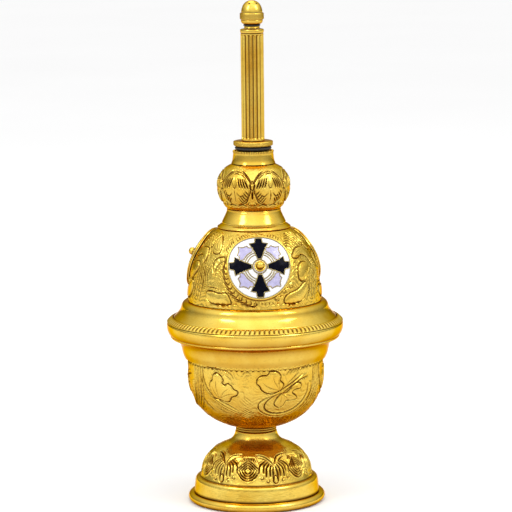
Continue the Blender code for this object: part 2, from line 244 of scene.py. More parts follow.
def polar(size, degrees):
    """A point that far from the middle; 0 degrees is to the right and 90 is up."""
    angle = math.radians(degrees)
    return (size * math.cos(angle), size * math.sin(angle))


def nearest(path, x, y):
    """Distance from each grid point to the path, and how far along the path that is, 0 to 1."""
    squares = (x[..., None] - path[:, 0]) ** 2 + (y[..., None] - path[:, 1]) ** 2
    index = squares.argmin(-1)
    gap = np.sqrt(np.take_along_axis(squares, index[..., None], -1)[..., 0])
    return gap, index / max(1, len(path) - 1)


def inside(path, x, y):
    """Whether each grid point is inside the closed path."""
    x0, y0 = path[:, 0], path[:, 1]
    x1, y1 = np.roll(x0, -1), np.roll(y0, -1)
    level = np.where(np.abs(y1 - y0) < 1e-9, 1e-9, y1 - y0)
    spans = (y0 > y[..., None]) != (y1 > y[..., None])
    crossing = x[..., None] < (x1 - x0) * (y[..., None] - y0) / level + x0
    return (spans & crossing).sum(-1) % 2 == 1


def raise_to(layer, place, values):
    """Lifts part of a layer to the values where it is lower."""
    layer[place] = np.maximum(layer[place], values)


class Chasing:
    """Ornament on one cell: swells raised from behind, and grooves cut with raised lips.

    x runs across the cell in millimetres, 0 in its middle, and y up the surface.
    """

    def __init__(self, width, columns, levels, seed):
        self.width = width
        self.columns = columns
        self.x = width * (np.arange(columns) / columns - 0.5)
        self.y = np.asarray(levels, float)
        self.swells = np.zeros((len(self.y), columns))
        self.cuts = np.zeros_like(self.swells)
        self.lips = np.zeros_like(self.swells)
        self.smooth_ground = np.zeros_like(self.swells)
        self.random = np.random.default_rng(seed)

    def near(self, points, margin):
        """The grid round the points, once for each neighbouring cell that they reach."""
        low, high = points.min(0) - margin, points.max(0) + margin
        rows = np.flatnonzero((self.y >= low[1]) & (self.y <= high[1]))
        for shift in (-self.width, 0, self.width):
            columns = np.flatnonzero((self.x >= low[0] + shift) & (self.x <= high[0] + shift))
            if len(rows) and len(columns):
                x, y = np.meshgrid(self.x[columns] - shift, self.y[rows])
                yield np.ix_(rows, columns), x, y

    def groove(self, knots, width=0.75, depth=0.3, closed=False):
        """An engraved line, which thins towards its ends unless it is closed."""
        path = smooth(knots, 0.25, closed)
        width *= 0.74
        for place, x, y in self.near(path, 2.5 * width):
            gap, share = nearest(path, x, y)
            strength = 1.0 if closed else np.sin(np.pi * (0.08 + 0.84 * share)) ** 0.6
            cut = depth * strength * np.exp(-((gap / (0.55 * width)) ** 2))
            lip = 0.35 * depth * strength * np.exp(-(((gap - 1.1 * width) / (0.45 * width)) ** 2))
            raise_to(self.cuts, place, cut)
            raise_to(self.lips, place, lip)

    def ridge(self, knots, width=1.2, height=0.3, closed=False):
        """A raised round line, such as a stem."""
        path = smooth(knots, 0.25, closed)
        for place, x, y in self.near(path, 2.5 * width):
            gap, _ = nearest(path, x, y)
            rise = height * np.exp(-((gap / (0.6 * width)) ** 2))
            raise_to(self.swells, place, rise)

    def swell(self, knots, height=0.45, edge=2.5, outline=True):
        """A raised field, rounded in from its edge."""
        path = smooth(knots, 0.3, closed=True)
        for place, x, y in self.near(path, 0.5):
            gap, _ = nearest(path, x, y)
            share = np.clip(gap / edge, 0, 1)
            within = inside(path, x, y)
            rise = within * height * np.sqrt(share * (2 - share))
            raise_to(self.swells, place, rise)
            raise_to(self.smooth_ground, place, within)
        if outline:
            self.groove(knots, 0.75, 0.3, closed=True)

    def leaf(self, outline, base, tips, height=0.5):
        """A lobed leaf with a vein from its base to each tip."""
        self.swell(outline, height)
        for tip in tips:
            base_point, tip_point = np.array(base, float), np.array(tip, float)
            side = np.array([base_point[1] - tip_point[1], tip_point[0] - base_point[0]]) * 0.06
            middle = (base_point + tip_point) / 2 + side
            self.groove([base_point, middle, base_point + 0.85 * (tip_point - base_point)], 0.55, 0.2)

    def curl(self, centre, size, start, turns=1.1, hand=1, height=0.35):
        """A small rolled leaf tip: a button with a spiral cut in it."""
        steps = np.linspace(0, 1, 12)
        angle = math.radians(start) + hand * 2 * np.pi * turns * steps
        radius = size * (1 - 0.75 * steps)
        spiral = np.stack([centre[0] + radius * np.cos(angle), centre[1] + radius * np.sin(angle)], 1)
        ring = arc(centre, size, 0, 330, 0.6)
        self.swell(ring, height, size, outline=False)
        self.groove(spiral, 0.6, 0.3)

    def hatch(self, first, last, count, width=0.6, depth=0.24, trim=0.0):
        """Lines that change evenly from the first line into the last; every other one can be short."""
        first, last = np.array(first, float), np.array(last, float)
        for step in range(count):
            share = step / max(1, count - 1)
            line = first * (1 - share) + last * share
            if trim and step % 2:
                line = line[0] + (line - line[0]) * (1 - trim)
            self.groove(line, width, depth)

    def scallops(self, level, count, size, start=None, end=None, hand=1):
        """A row of small arches; hand is -1 for ones that hang."""
        start = -self.width / 2 if start is None else start
        end = self.width / 2 if end is None else end
        pitch = (end - start) / count
        for step in range(count):
            centre = (start + (step + 0.5) * pitch, level)
            arch = arc(centre, size, 10, 170) if hand > 0 else arc(centre, size, -10, -170)
            self.groove(arch, 0.55, 0.26)
            self.swell(arc(centre, size * 0.7, 0, 330, 0.5), 0.22, size, outline=False)

    def matting(self, spacing, depth):
        """Fine broken wavy lines over the ground between the raised fields."""
        turn = 2 * np.pi * self.x[None, :] / self.width
        level = self.y[:, None]
        lean = round(self.width / (2.5 * spacing)) * turn / (2 * np.pi)
        phase = level / spacing + lean + 1.5 * np.sin(2 * turn + 0.17 * level)
        phase += 0.8 * np.sin(5 * turn - 0.33 * level)
        line = np.clip(np.cos(2 * np.pi * phase), 0, 1) ** 3
        breaks = 0.62 + 0.38 * np.sin(7 * turn + 0.9 * level) * np.sin(4 * turn - 1.1 * level)
        self.cuts = np.maximum(self.cuts, depth * line * breaks * (1 - 0.85 * self.smooth_ground))

    def heights(self, ground=0.05, fade=1.6):
        """The finished cell: heights, and how deeply each point is cut, 0 to 1."""
        grain = self.random.normal(size=self.swells.shape)
        for _ in range(2):
            for axis in (0, 1):
                grain = (np.roll(grain, 1, axis) + grain + np.roll(grain, -1, axis)) / 3
        grain *= ground / max(grain.std(), 1e-9) * (1 - 0.75 * self.smooth_ground)
        edge = np.minimum(np.abs(self.y - self.y[0]), np.abs(self.y - self.y[-1]))
        keep = np.clip(edge / fade, 0, 1)[:, None]
        height = (1.2 * self.swells + 2.2 * self.lips - 1.7 * self.cuts + grain) * keep
        # how deeply each point is cut, which the gilt darkens as painted shade in the grooves
        cut = np.clip(self.cuts / 0.26, 0, 1) * keep
        return height, cut


def softened(rows):
    """1 on the chased rows of a surface, less at their ends and 0 elsewhere, as a column."""
    reach = rows.astype(float)
    return (np.convolve(reach, np.ones(5) / 5, "same") * reach)[:, None]


def repeat(cell, cells):
    return np.tile(cell, (1, cells))


def cell_start(cells):
    """The turn at which the first cell starts, so that its middle faces the front."""
    return FRONT - math.pi / cells


def levels_of(outer, zero):
    """Surface heights for a chased face: distance along its outline, equal to z at the level zero."""
    length = along(outer)
    at_zero = np.interp(-zero, -outer[:, 1], length)
    return zero + at_zero - length


# ---------------------------------------------------------------- materials
def new_material(name):
    material = bpy.data.materials.new(name)
    material.use_nodes = True
    tree = material.node_tree
    return material, tree, tree.nodes["Principled BSDF"]


def add_node(tree, kind, inputs, output=0, **settings):
    """Adds a shader node and returns an output. Its inputs are sockets to link, or values."""
    made = tree.nodes.new("ShaderNode" + kind)
    for setting, value in settings.items():
        setattr(made, setting, value)
    for key, value in inputs.items():
        if isinstance(value, bpy.types.NodeSocket):
            tree.links.new(value, made.inputs[key])
        else:
            made.inputs[key].default_value = value
    return made.outputs[output]


def noise_node(tree, scale, detail=3.0, stretch=(1, 1, 1)):
    """A noise texture in the object's own space; scale is in cycles a metre."""
    place = add_node(tree, "TexCoord", {}, "Object")
    mapped = add_node(tree, "Mapping", {"Vector": place, "Scale": stretch})
    return add_node(tree, "TexNoise", {"Vector": mapped, "Scale": scale, "Detail": detail}, "Fac")


def ramp_node(tree, source, stops):
    ramp = tree.nodes.new("ShaderNodeValToRGB")
    elements = ramp.color_ramp.elements
    while len(elements) < len(stops):
        elements.new(0.5)
    for element, (place, colour) in zip(elements, stops):
        element.position = place
        element.color = (*colour, 1)
    tree.links.new(source, ramp.inputs["Fac"])
    return ramp.outputs["Color"]


def range_node(tree, source, low, high, start=0.0, end=1.0):
    spans = {"From Min": start, "From Max": end, "To Min": low, "To Max": high}
    return add_node(tree, "MapRange", {"Value": source, **spans}, "Result")


def bump_chain(tree, shader, layers):
    """Bumps on top of each other: (source, depth in metres)."""
    below = {}
    for source, depth in layers:
        normal = add_node(tree, "Bump", {"Distance": depth, "Height": source, **below}, "Normal")
        below = {"Normal": normal}
    tree.links.new(normal, shader.inputs["Normal"])


BRIGHT_GOLD = (0.96, 0.70, 0.13)
WARM_GOLD = (0.88, 0.56, 0.07)
PALE_GOLD = (0.40, 0.33, 0.15)
# the next colour is the dark brown of patina specks and of the painted shade in engraved lines
PATINA_AND_PAINTED_SHADE = (0.15, 0.058, 0.008)
# the next colour is painted shade: faces that turn downwards are darkened towards it
PAINTED_UNDERSIDE_SHADE = (0.42, 0.27, 0.16)
EDGE_TINT = (0.9, 0.56, 0.2, 1)


def gilt(name, rough=(0.10, 0.20), patina=0.35, cast=0.00002, tones=(WARM_GOLD, BRIGHT_GOLD)):
    """Polished gilding: uneven tone, patina specks, fine wipe marks, painted shade as dark brown lines where
    it is engraved, and painted shade on faces that turn downwards.
    """
    material, tree, shader = new_material(name)
    shader.inputs["Metallic"].default_value = 1.0
    shader.inputs["Specular Tint"].default_value = EDGE_TINT
    tone = ramp_node(tree, noise_node(tree, 70, 4), [(0.35, tones[0]), (0.62, tones[1])])
    speck = range_node(tree, noise_node(tree, 900, 3), 0.0, patina, 0.58, 0.8)
    engraving_painted_shade = add_node(tree, "Attribute", {}, "Fac", attribute_name="engraving_painted_shade")
    # painted shade: the engraved depth darkens the grooves towards the dark brown, together with the patina
    # specks
    dark = range_node(tree, engraving_painted_shade, 0, 0.96, 0.15, 0.8)
    patina_and_shade_amount = add_node(tree, "Math", {0: dark, 1: speck}, operation="MAXIMUM")
    layers = {"Factor": patina_and_shade_amount, "A": tone, "B": (*PATINA_AND_PAINTED_SHADE, 1)}
    metal = add_node(tree, "Mix", layers, "Result", data_type="RGBA")
    # painted shade: faces that turn downwards are darkened by their normal's z
    normal = add_node(tree, "NewGeometry", {}, "Normal")
    painted_shade_by_facing = range_node(tree, add_node(tree, "SeparateXYZ", {"Vector": normal}, "Z"), 0, 1, -0.75, 0.25)
    shade = ramp_node(tree, painted_shade_by_facing, [(0.0, PAINTED_UNDERSIDE_SHADE), (1.0, (1, 1, 1))])
    colour = add_node(tree, "VectorMath", {0: metal, 1: shade}, operation="MULTIPLY")
    tree.links.new(colour, shader.inputs["Base Color"])
    wear = range_node(tree, noise_node(tree, 260, 5), *rough, 0.3, 0.7)
    rougher = add_node(tree, "Math", {0: engraving_painted_shade, 1: 0.22, 2: wear}, operation="MULTIPLY_ADD")
    tree.links.new(rougher, shader.inputs["Roughness"])
    wipes = noise_node(tree, 420, 2, (1, 1, 7))
    bump_chain(tree, shader, [(noise_node(tree, 170, 2), 4 * cast), (wipes, cast)])
    return material


def coated(name, tones, grain, rough, wear, bump, shine=0.5):
    """A coat of uneven colour. grain, wear and bump hold a noise's scale and detail, and bump its depth."""
    material, tree, shader = new_material(name)
    tone = ramp_node(tree, noise_node(tree, *grain), [(0.3, tones[0]), (0.7, tones[1])])
    tree.links.new(tone, shader.inputs["Base Color"])
    tree.links.new(range_node(tree, noise_node(tree, *wear), *rough), shader.inputs["Roughness"])
    shader.inputs["Specular IOR Level"].default_value = shine
    bump_chain(tree, shader, [(noise_node(tree, *bump[:2]), bump[2])])
    return material


def enamel(name, dark, light, shine=0.5):
    """Fired glass: a little uneven in colour and level, under a hard shine."""
    return coated(name, (dark, light), (500, 3), (0.08, 0.2), (800, 3), (350, 2, 0.00004), shine)


def rubber(name):
    tones = [(grey,) * 3 for grey in (0.008, 0.02)]
    return coated(name, tones, (600, 4), (0.5, 0.75), (900, 3), (2200, 4, 0.00003))


# ---------------------------------------------------------------- vessel
def foot_outline():
    top = [(4.2, 39), (8, 39), (11.2, 39)]
    cone = smooth([(11.5, 38.7), (12, 36.9), (13.1, 34.9), (14.9, 33.3), (17.2, 32.2), (20.2, 30.9)], 0.4)
    dome = smooth([(20.2, 30.9), (24, 28.2), (27, 24.3), (28.9, 20.6), (30.2, 16.6), (31.2, 13.9)], 0.38)
    shelf = smooth([(31.4, 13.7), (32.4, 13.6), (33.3, 13.2), (33.8, 12.4), (34, 11.4)], 0.4)
    band = smooth([(34, 11.4), (34.2, 9.4), (34.7, 5.1)], 0.8)
    return fitted(np.vstack([top, cone, dome[1:], shelf, band[1:]]), "foot_shell")


def foot_palmette(art, x):
    """The node where two arches meet, and the feathered palmette that hangs from it."""
    art.groove(beside(x, -1, (10.5, 31.4), (6.5, 30.6), (3, 28.4), (0, 24.8)), 0.9, 0.4)
    art.groove(beside(x, 1, (9.5, 31.5), (4.2, 30.4), (1.6, 28), (0, 24.8)), 0.9, 0.4)
    art.groove(beside(x, -1, (9, 29.6), (5, 28.2), (2.2, 25.6)), 0.7, 0.3)
    art.groove(beside(x, 1, (8.2, 29.8), (4.6, 28), (2, 25.6)), 0.7, 0.3)
    plume = [(0.3, 24.4), (3.4, 27.2), (6.6, 25.2), (8.6, 20.6), (7.6, 17.4), (5.2, 16.6), (2, 16.2)]
    plume += [(0.6, 19.6)]
    for hand in (-1, 1):
        near = beside(x, hand, (0.5, 24.2), (1.2, 20.6), (1.2, 16))
        far = beside(x, hand, (4.6, 27.6), (8.2, 24.8), (9, 20.2))
        art.swell(beside(x, hand, *plume), 0.5, 2.4, outline=False)
        art.hatch(near, far, 5, 1.0, 0.5, 0.15)
        art.curl((x + hand * 7.6, 17.6), 1.3, 90, 0.9, hand)
        art.curl((x + hand * 4.4, 15.9), 1.2, 60, 0.9, hand)
    drop = beside(x, 1, (0, 19), (1.1, 17), (1.2, 15.4), (0, 14.2), (-1.2, 15.4), (-1.1, 17))
    art.swell(drop, 0.5, 1.2)


def foot_petal(art, x):
    """The field between two nodes: nested arcs drawn out to points, like a bud in a shell."""
    bud = beside(x, 1, (-6.6, 26.4), (0, 29.2), (6.6, 26.4), (6.6, 20), (0, 15.8), (-6.6, 20))
    art.swell(bud, 0.35, 4, outline=False)
    middle = 21.8
    for size in (1.12, 0.86, 0.60, 0.34):
        wide, tall = 6.0 * size, 5.4 * size
        upper = [(wide, middle), (0.45 * wide, middle + 0.6 * tall), (0, middle + tall)]
        lower = [(wide, middle), (0.5 * wide, middle - 0.7 * tall), (0, middle - tall)]
        for hand in (-1, 1):
            art.groove(beside(x, hand, *upper), 0.85, 0.4)
            art.groove(beside(x, hand, *lower), 0.85, 0.4)
    art.hatch(beside(x, 1, (-4.5, 27), (-3, 29.8)), beside(x, 1, (4.5, 27), (3, 29.8)), 8, 0.7, 0.3)


def make_foot(gold):
    outer = foot_outline()
    level = outer[:, 1]
    columns = 108
    art = Chasing(2 * math.pi * FOOT_RADIUS / FOOT_CELLS, columns, levels_of(outer, FOOT_LEVEL), seed=11)
    foot_petal(art, 0)
    foot_palmette(art, art.width / 2)
    art.matting(spacing=1.7, depth=0.07)
    height, cut = art.heights(ground=0.015)
    soft = softened((level < 31.6) & (level > 14.2))
    # painted reflection and painted shade: a dark band at the top of the cone where the bowl's dark underside
    # is reflected, a thin dark line in the crease above the shelf, and the bottom of the band darker where it
    # meets the base ring
    painted_shade_bands = 0.5 * np.exp(-(((level - 34.2) / 1.5) ** 4)) + np.exp(-(((level - 13.9) / 0.35) ** 2))
    painted_shade_bands += 0.9 * np.clip((6.2 - level) / 0.8, 0, 1)
    cut = np.maximum(cut * soft, painted_shade_bands[:, None])
    lift, cuts = repeat(height * soft, FOOT_CELLS), repeat(cut, FOOT_CELLS)
    shape = dict(lift=lift, cuts=cuts, start=cell_start(FOOT_CELLS) - math.radians(14.4), sharp=50)
    turned("foot", sheet(outer, WALL, 16), columns * FOOT_CELLS, gold, "vessel", "foot_shell", **shape)


def make_base(gold):
    top, bottom, radius = extent("base_ring")
    size = (top - bottom) / 2
    centre = radius - size
    bead = arc((centre, size), size, 100, -90, 0.25)
    section = np.vstack([[(centre - 3.0, 0.4), (centre - 3.0, 2 * size)], bead, [(centre - 2.6, 0)]])
    turned("base_bead", section, 192, gold, "vessel", "base_ring")


def make_stem_collar(gold):
    top, bottom, radius = extent("stem_collar")
    middle = (bottom + top) / 2
    beads = [arc((radius - 0.6, middle + side * 0.57), 0.6, 80, -80, 0.15) for side in (1, -1)]
    section = np.vstack([[(4.3, top), (radius - 0.7, top)], *beads, [(radius - 0.7, bottom), (4.3, bottom)]])
    # painted shade: the whole collar is darkened, where it sits in the hollow under the bowl
    cuts = np.full((len(section), 96), 0.45)
    turned("stem_beads", section, 96, gold, "vessel", "stem_collar", cuts=cuts)


def bowl_outline():
    side = smooth([(37.4, 99.65), (37.4, 88), (37.4, 80)], 1.6)
    knots = [(37.4, 80), (37.3, 73), (36.9, 67.5), (36.1, 63.5), (34.3, 58), (31.7, 53.5)]
    knots += [(28, 49.6), (23.5, 46.2)]
    chased = smooth(knots, 0.4)
    base = smooth([(23.5, 46.2), (18, 43.6), (12.6, 42.05), (10.5, 41.95)], 0.9)
    return fitted(np.vstack([side, chased[1:], base[1:], [(7, 41.9), (4.2, 41.9)]]), "bowl_shell")


def bowl_vine(art):
    """Three vine leaves on crossing double stems; x is measured at the bowl's widest."""
    outline = [(-30.5, 71), (-28.6, 73.2), (-28.2, 75.6), (-26, 77), (-23.4, 76), (-21.6, 73.4)]
    outline += [(-22.2, 71.8), (-20.8, 70.6), (-18.8, 71.6), (-16.8, 70.4), (-15.3, 68.4), (-13.3, 67.4)]
    outline += [(-13.8, 65.2), (-16.8, 63.8), (-18.6, 61.2), (-21, 61), (-24.5, 62), (-28, 62.6), (-30, 66)]
    art.leaf(outline, (-24.5, 62.5), [(-26, 76.5), (-17, 70), (-29.5, 70.5), (-14.5, 66.5)], 0.6)
    outline = [(5, 78.6), (3.4, 76.6), (0, 76.2), (-2.2, 74.4), (-2.6, 72), (-1, 70.4), (0.4, 68)]
    outline += [(3, 66.4), (6, 66), (9, 66.8), (11.2, 68), (12.6, 71), (10.6, 73.4), (11, 76), (8.6, 78.2)]
    art.leaf(outline, (10.5, 67.4), [(5.5, 78), (-1.6, 73.6), (2.4, 67.4), (10, 77)], 0.6)
    outline = [(24.2, 70), (23.6, 67.6), (19.8, 67.2), (18.4, 65.6), (20.8, 63.8), (22, 61.6), (17.4, 61.2)]
    outline += [(14.8, 61.2), (13.2, 58.4), (10.4, 57.2), (7.6, 59.4), (8.4, 62.2), (11, 65.4), (14.5, 66)]
    outline += [(18, 69.4), (21.5, 71)]
    art.leaf(outline, (11.5, 65.2), [(23.8, 69.6), (20.6, 62.6), (10.6, 58.4), (16, 61.8)], 0.5)

    stem = [(-38, 79), (-37.2, 73), (-34.6, 67.4), (-29.6, 62.6), (-24, 59), (-18.6, 56), (-12.6, 53.6)]
    art.groove(stem, 0.9, 0.34)
    art.groove([(-36, 78), (-34.6, 71), (-30.6, 65), (-24.6, 61.4), (-18.2, 58.2), (-13.2, 55)], 0.7, 0.3)
    art.ridge([(-37, 78.6), (-36, 72), (-32.6, 66), (-27, 61.8), (-18.4, 57.1), (-13, 54.3)], 1.3, 0.35)
    art.groove([(-36, 79), (-29, 79.6), (-22.6, 78.8), (-17.6, 77.4), (-15.4, 74.8)], 0.7, 0.3)
    art.groove([(-22, 76.2), (-18.6, 75.2), (-16.6, 73.4)], 0.6, 0.24)
    art.groove([(11, 67.4), (14.6, 69.6), (19.6, 72.2), (25, 75.4)], 0.9, 0.34)
    art.groove([(12.4, 66), (16.6, 69), (23.4, 72.2), (29.4, 73.6)], 0.9, 0.34)
    art.ridge([(11.6, 66.6), (16, 69.6), (21.8, 72.6), (28, 75)], 1.0, 0.3)
    loop = [(10.5, 66), (6.4, 64.2), (3, 61.2), (1.8, 57.8), (3.8, 55), (8.6, 53.4), (15, 53.4), (21, 55.4)]
    loop += [(26, 59), (29.4, 64), (30, 69.4)]
    art.groove(loop, 1.0, 0.38)
    outer = [(8.6, 65.4), (3, 63.6), (-1, 60.8), (-1.8, 57.6), (0.2, 54.6), (5.4, 51.8), (13, 50.8)]
    outer += [(21, 52.6), (27.6, 57), (32, 63), (32.8, 70)]
    art.groove(outer, 0.8, 0.34)
    art.ridge((np.array(loop) + np.array(outer)) / 2, 1.4, 0.34)


def bowl_fillings(art):
    """Hatching that follows the vine's loop, the fringe under the gallery and the strokes below."""
    right = [(33.6, 80), (34, 74), (33.4, 66), (30.6, 58.6), (25, 53)]
    far = [(42, 80), (42.4, 73), (41.6, 65), (38.6, 57.6), (31, 50.6)]
    art.hatch(right, far, 7, 0.7, 0.3, 0.1)
    art.hatch([(14, 76.2), (16.4, 78), (18.6, 78.8)], [(27.4, 78), (29.4, 79.6), (31, 80.4)], 7, 0.7, 0.26)
    art.hatch([(14.4, 70.8), (18, 73.4), (21, 75.8)], [(17.8, 73), (20, 75), (22.4, 77)], 3, 0.6, 0.26)
    art.groove([(-11, 76), (-9.4, 77.8), (-7, 78.2), (-5.4, 76.8)], 0.6, 0.24)
    art.groove([(-9.8, 74.6), (-8.4, 76.2), (-6.6, 76.4)], 0.5, 0.2)
    first, last = [(-12, 61.6), (-10, 59.2), (-7, 57)], [(-9.6, 64.8), (-6.6, 62), (-3.4, 59.4)]
    art.hatch(first, last, 4, 0.55, 0.18, 0.3)
    first, last = [(-12.6, 52.6), (-9.4, 50.6), (-6, 49.6)], [(-10, 57.4), (-6.4, 55), (-2.8, 53.6)]
    art.hatch(first, last, 5, 0.6, 0.26, 0.2)
    first, last = [(-29, 60.8), (-23, 56.6), (-17, 53.4)], [(-34, 62), (-27, 55.4), (-20, 50.6)]
    art.hatch(first, last, 4, 0.55, 0.2, 0.2)
    art.hatch([(-34, 57), (-29, 52.4)], [(-38.4, 62.6), (-36, 56)], 5, 0.6, 0.22)
    art.hatch([(-9, 72.6), (-7.4, 69.4), (-6.6, 66)], [(-4.6, 72), (-4.2, 69), (-4, 66.4)], 3, 0.45, 0.1)
    art.scallops(80.0, 26, 1.3, hand=-1)
    for step in range(20):
        x = art.width * ((step + 0.5) / 20 - 0.5)
        art.groove([(x - 1.4, 49.4), (x, 46.6), (x + 1.2, 43.2)], 0.6, 0.22)


def make_bowl(gold):
    outer = bowl_outline()
    columns = 186
    art = Chasing(2 * math.pi * BOWL_RADIUS / BOWL_CELLS, columns, levels_of(outer, BOWL_LEVEL), seed=5)
    bowl_vine(art)
    bowl_fillings(art)
    art.matting(spacing=1.9, depth=0.13)
    height, cut = art.heights(ground=0.028)
    soft = softened((outer[:, 1] < 80.8) & (outer[:, 1] > 43.5))
    lift, cuts = repeat(height * soft, BOWL_CELLS), repeat(cut * soft, BOWL_CELLS)
    shape = dict(lift=lift, cuts=cuts, start=cell_start(BOWL_CELLS), sharp=60)
    turned("bowl", sheet(outer, WALL, 22), columns * BOWL_CELLS, gold, "vessel", "bowl_shell", **shape)


def make_gallery(gold):
    seat = [(37.8, 100.2), (43, 100.2), (47.8, 100.2)]
    lip = [(48.3, 100.05), (48.6, 99.6), (48.7, 98.9), (48.7, 97.4), (48.3, 95.6), (47.6, 94.1), (46.9, 93.3)]
    bead = [(46.5, 93.3), (46.8, 92.8), (46.6, 92.1), (45.9, 91.6), (45.1, 91.4), (44.6, 91.6)]
    hollow = [(44.2, 91.3), (42.9, 90.3), (41.6, 88.6), (40.9, 86.8), (40.5, 85), (40.1, 83.2)]
    hollow += [(39.1, 80.6)]
    outer = np.vstack([seat, smooth(lip, 0.4), smooth(bead, 0.25), smooth(hollow, 0.5)])
    section = sheet(fitted(outer, "bowl_gallery"), WALL, 18)
    turned("gallery", section, 288, gold, "vessel", "bowl_gallery", sharp=32)


# ---------------------------------------------------------------- cover
def make_trim(gold):
    """The cover's edge ring: a sloping band of small gadroons."""
    top, bottom, radius = extent("rim_trim")
    knots = [(45.4, top - 0.1), (46.6, 102.6), (47.6, 101.8), (48.2, 101.2)]
    face = smooth([*knots, (radius - 0.05, bottom + 0.35), (radius - 0.1, bottom)], 0.2)
    section = np.vstack([[(45.2, top)], face, [(46.4, bottom), (45.2, bottom)]])
    per_bead = 8
    across = np.linspace(0, 1, len(face))
    swell = np.sin(np.pi * np.clip((across - 0.06) / 0.88, 0, 1)) ** 0.6
    phase = 2 * np.pi * np.arange(TRIM_BEADS * per_bead) / per_bead
    bead = np.abs(np.cos((phase[None, :] + 1.2 * across[:, None]) / 2))
    lift = from_row(1, -0.62 * (1 - bead**0.8) * swell[:, None])
    # painted shade: the hollows between the gadroons are darkened by their depth
    shape = dict(lift=lift, cuts=np.clip(-lift / 0.5, 0, 1), sharp=60)
    turned("rim_gadroons", section, lift.shape[1], gold, "cover", "rim_trim", **shape)


def make_skirt(gold):
    top = [(34.4, 112.2), (37.6, 112.2)]
    knots = [(38.3, 112.1), (39, 111.7), (39.8, 111), (40.4, 109.9), (40.8, 108.4), (41.4, 107)]
    knots += [(42.6, 105.4)]
    flare = smooth([*knots, (43.9, 104), (44.8, 103.1), (44.9, 102.4), (44.9, 100.5)], 0.45)
    outer = fitted(np.vstack([top, flare]), "cover_skirt")
    turned("skirt", sheet(outer), 288, gold, "cover", "cover_skirt", sharp=35)


def make_spigot(gold, seal):
    top, bottom, radius = extent("cover_spigot")
    gap = 0.3
    tube = BOWL_RADIUS - WALL - gap
    level = 96.75
    groove = [(tube, level + 1.2), (tube - 2, level + 1.2), (tube - 2, level - 1.2), (tube, level - 1.2)]
    outer = [(radius, top), (tube + 0.3, top), (tube, top - 0.3), *groove, (tube, 93.5), (tube, bottom)]
    inner = [(tube - 1, bottom), (tube - 1, 94.6), (tube - 3, 94.6), (tube - 3, 98.9), (tube - 1, 98.9)]
    section = [*outer, *inner, (tube - 1, top - 1), (radius, top - 1)]
    turned("spigot", section, 144, gold, "cover", "cover_spigot", sharp=30)
    ring = arc((35.05, level), 0.85, 90, -240, 0.25)
    turned("spigot_ring", ring, 144, seal, "cover", "spigot_seal", "black_rubber")


DOME_KNOTS = [(20.4, 152), (24.2, 148.8), (27.9, 144.6), (31, 140), (33.5, 135), (35, 130)]
DOME_KNOTS += [(35.7, 125), (36.2, 120), (36.7, 112.5)]
MEDALLION_RADIUS = 18.0


def dome_rim_strokes(art):
    """Short curved strokes that fray out from the medallion's rim, and the curls between them."""
    for degrees in range(166, 266, 8):
        art.groove([polar(18.9, degrees), polar(21.2, degrees + 1.146), polar(22.8, degrees - 12)], 0.9, 0.4)
    for degrees in range(-68, 12, 9):
        art.groove([polar(18.9, degrees), polar(21.2, degrees + 8)], 0.65, 0.26)
    art.curl((-16.8, -15), 1.9, 0, 1.0, 1)
    art.curl((-13.2, -17.4), 2.0, 90, 1.0, -1)
    art.curl((9.6, -17.6), 2.2, 60, 1.0, 1)
    art.curl((13.4, -14.2), 1.8, 180, 1.0, -1)
    art.curl((18.4, -11.4), 1.6, 120, 1.0, 1)
    art.hatch([(-9.6, -19), (-10, -21)], [(7, -18.8), (7, -21)], 9, 0.6, 0.26)


def dome_fields(art):
    """The two plain bright leaves low at either side, with their engraved edges."""
    left = [(-32.6, -14.6), (-28.6, -14), (-24.2, -14.8), (-19.6, -14.4), (-17.4, -16.6), (-16.4, -20.4)]
    left += [(-21.4, -20.9), (-28, -20.7), (-32, -18.4)]
    art.swell(left, 0.65, 3.0)
    right = [(14.6, -16.6), (17.4, -14.9), (23, -13.2), (29.2, -9.8), (30.2, -14.4), (26, -19.4)]
    right += [(21, -20.8), (14.8, -20.7), (13.4, -19)]
    art.swell(right, 0.65, 3.0)
    art.groove([(-33.4, -12.2), (-28.4, -12), (-23, -13)], 0.65, 0.28)
    art.groove([(31.2, -8.6), (32, -14.4), (29.2, -19.8)], 0.7, 0.3)
    art.scallops(-21.6, 4, 1.5, -25.6, -12.4)
    art.scallops(-21.6, 6, 1.3, 5.4, 23.4)


